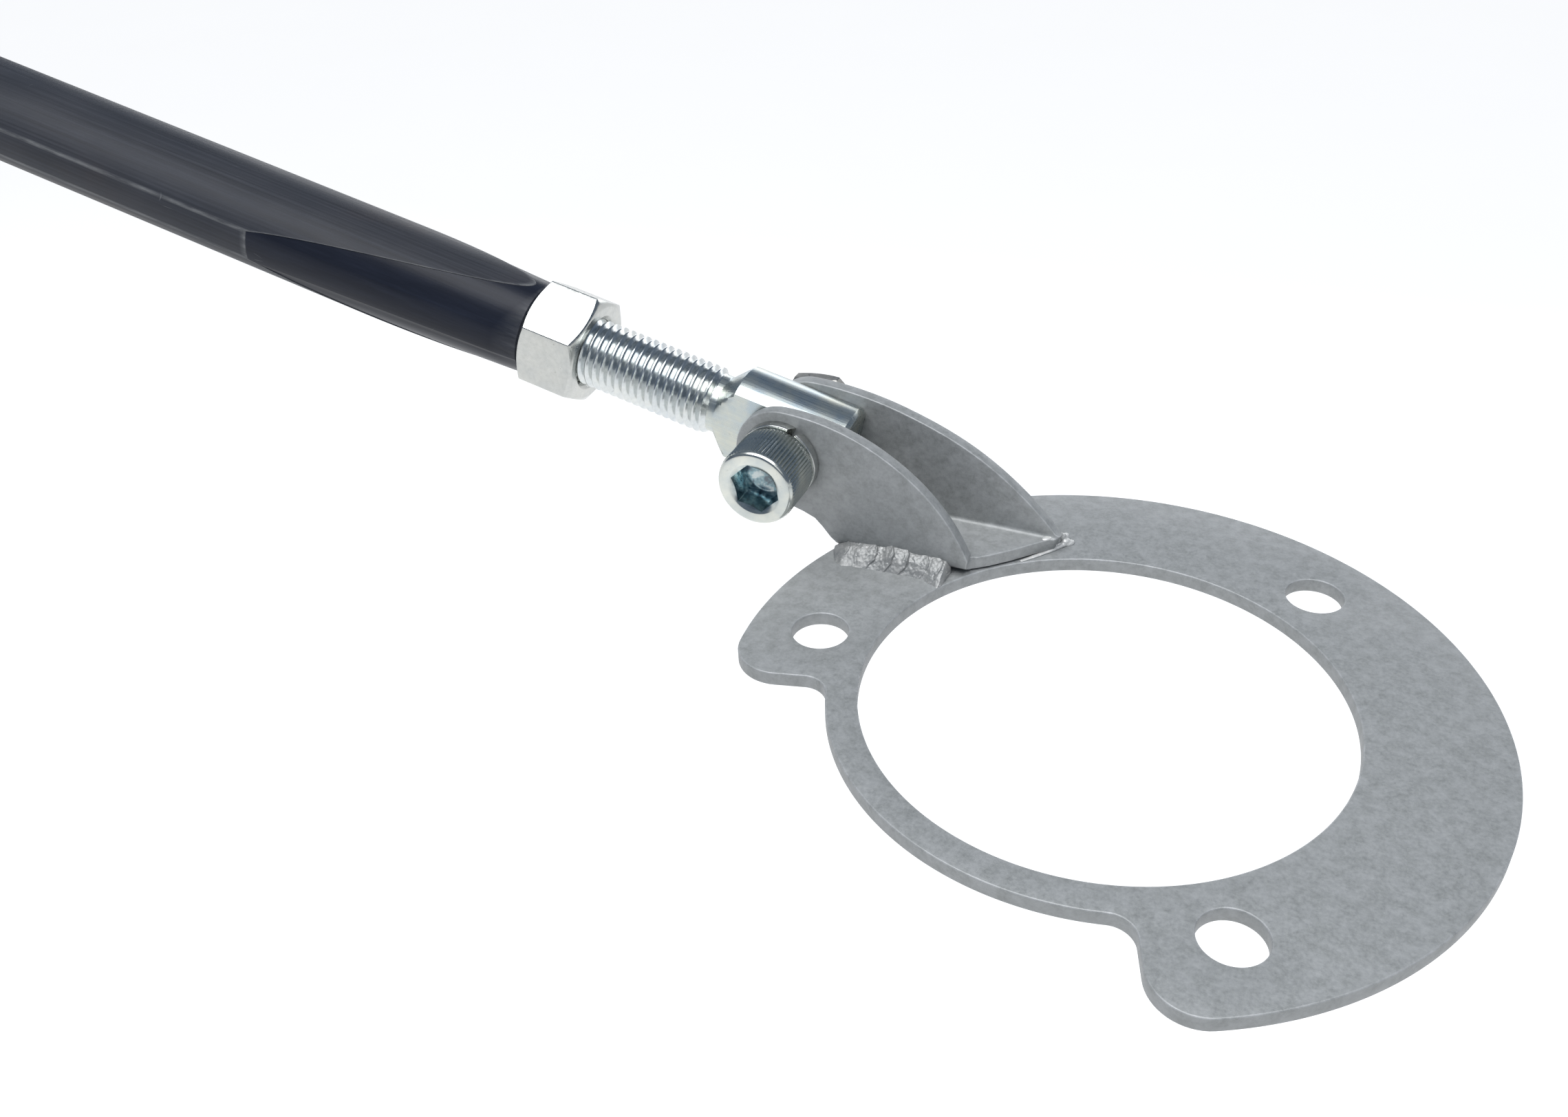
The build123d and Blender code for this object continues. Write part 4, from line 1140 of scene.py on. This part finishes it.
place(build_handle_weld(), "bar", M_PAINT, "handle_paint", "handle_weld")
place(build_grip("LeftGrip", -1), "bar", M_RUBBER, "grip_rubber", "left_grip")
place(build_grip("RightGrip", 1), "bar", M_RUBBER, "grip_rubber", "right_grip")
place(build_plug("LeftEndPlug", -1), "bar", M_PLASTIC, "plug_plastic", "left_end_plug")
place(build_plug("RightEndPlug", 1), "bar", M_PLASTIC, "plug_plastic", "right_end_plug")
give(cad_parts["pivot_bush"], M_BUSH)

# ------------------------------------------------------------------ stage, light
# the part is shown clear of the floor, so that the bar can hang straight down
fm = bpy.data.meshes.new("floor")
S, FLOOR_Z = 30.0, -1.08
fm.from_pydata([(-S, -S, FLOOR_Z), (S, -S, FLOOR_Z), (S, S, FLOOR_Z), (-S, S, FLOOR_Z)], [], [(0, 1, 2, 3)])
floor = bpy.data.objects.new("floor", fm)
bpy.context.scene.collection.objects.link(floor)
mf, nt, bf = new_material("floor_white")
fl = noise_tex(nt, object_coords(nt, own=False), 3.0, 2, 0.5)
nt.links.new(ramp(nt, fl, [(0.3, (0.40, 0.40, 0.40)), (0.7, (0.42, 0.42, 0.42))]), bf.inputs["Base Color"])
bf.inputs["Emission Color"].default_value = (1.0, 1.0, 1.0, 1)
bf.inputs["Emission Strength"].default_value = 0.88
bf.inputs["Roughness"].default_value = 0.9
bf.inputs["Specular IOR Level"].default_value = 0.1
floor.data.materials.append(mf)

world = bpy.context.scene.world or bpy.data.worlds.new("studio")
bpy.context.scene.world = world
world.use_nodes = True
bg = world.node_tree.nodes["Background"]
bg.inputs["Color"].default_value = (0.52, 0.66, 0.88, 1)
bg.inputs["Strength"].default_value = 0.26
# the metal reflects the dim blue room; the camera itself sees a plain pale wall
wnt = world.node_tree
wall = wnt.nodes.new("ShaderNodeBackground")
wall.inputs["Color"].default_value = (0.93, 0.94, 0.95, 1)
wall.inputs["Strength"].default_value = 0.9
path = wnt.nodes.new("ShaderNodeLightPath")
pick = wnt.nodes.new("ShaderNodeMixShader")
wout = next(n for n in wnt.nodes if n.type == "OUTPUT_WORLD")
wnt.links.new(path.outputs["Is Camera Ray"], pick.inputs[0])
wnt.links.new(bg.outputs[0], pick.inputs[1])
wnt.links.new(wall.outputs[0], pick.inputs[2])
wnt.links.new(pick.outputs[0], wout.inputs["Surface"])


def area_light(name, loc, target, size, power, color=(1, 1, 1)):
    li = bpy.data.lights.new(name, "AREA")
    li.shape = "RECTANGLE"
    li.size, li.size_y = size
    li.energy = power
    li.color = color
    ob = bpy.data.objects.new(name, li)
    bpy.context.scene.collection.objects.link(ob)
    ob.location = loc
    d = Vector(target) - Vector(loc)
    ob.rotation_mode = "QUATERNION"
    ob.rotation_quaternion = d.to_track_quat("-Z", "Y") if abs(d.normalized().z) < 0.99 else (1, 0, 0, 0)
    return ob


area_light("overhead", (-0.15, -0.68, 2.0), (-0.15, -0.68, 0.0), (2.6, 1.6), 70)
area_light("back", (-0.4, 2.6, 0.42), (-0.1, 0.0, 0.2), (4.0, 0.8), 24)
area_light("front", (0.75, -0.75, 0.75), (0.0, 0.0, 0.0), (0.6, 0.6), 0.8)

# ----------------------------------------------------------------------- camera
cam_data = bpy.data.cameras.new("camera")
cam_data.sensor_fit = "HORIZONTAL"
cam_data.sensor_width = 36.0
cam_data.lens = 2076.2 / 2279 * 36.0
cam_data.clip_start, cam_data.clip_end = 0.005, 50
cam = bpy.data.objects.new("camera", cam_data)
bpy.context.scene.collection.objects.link(cam)
right = Vector((0.91267821, 0.4073613, -0.03279117))
down = Vector((0.20791076, -0.53189532, -0.82089005))
fwd = Vector((-0.35184031, 0.74239083, -0.57014407))
rot = Matrix((right, -down, -fwd)).transposed().to_4x4()
cam.matrix_world = Matrix.Translation((0.035539, -0.217978, 0.187000)) @ rot
bpy.context.scene.camera = cam
bpy.context.scene.view_settings.view_transform = "Standard"
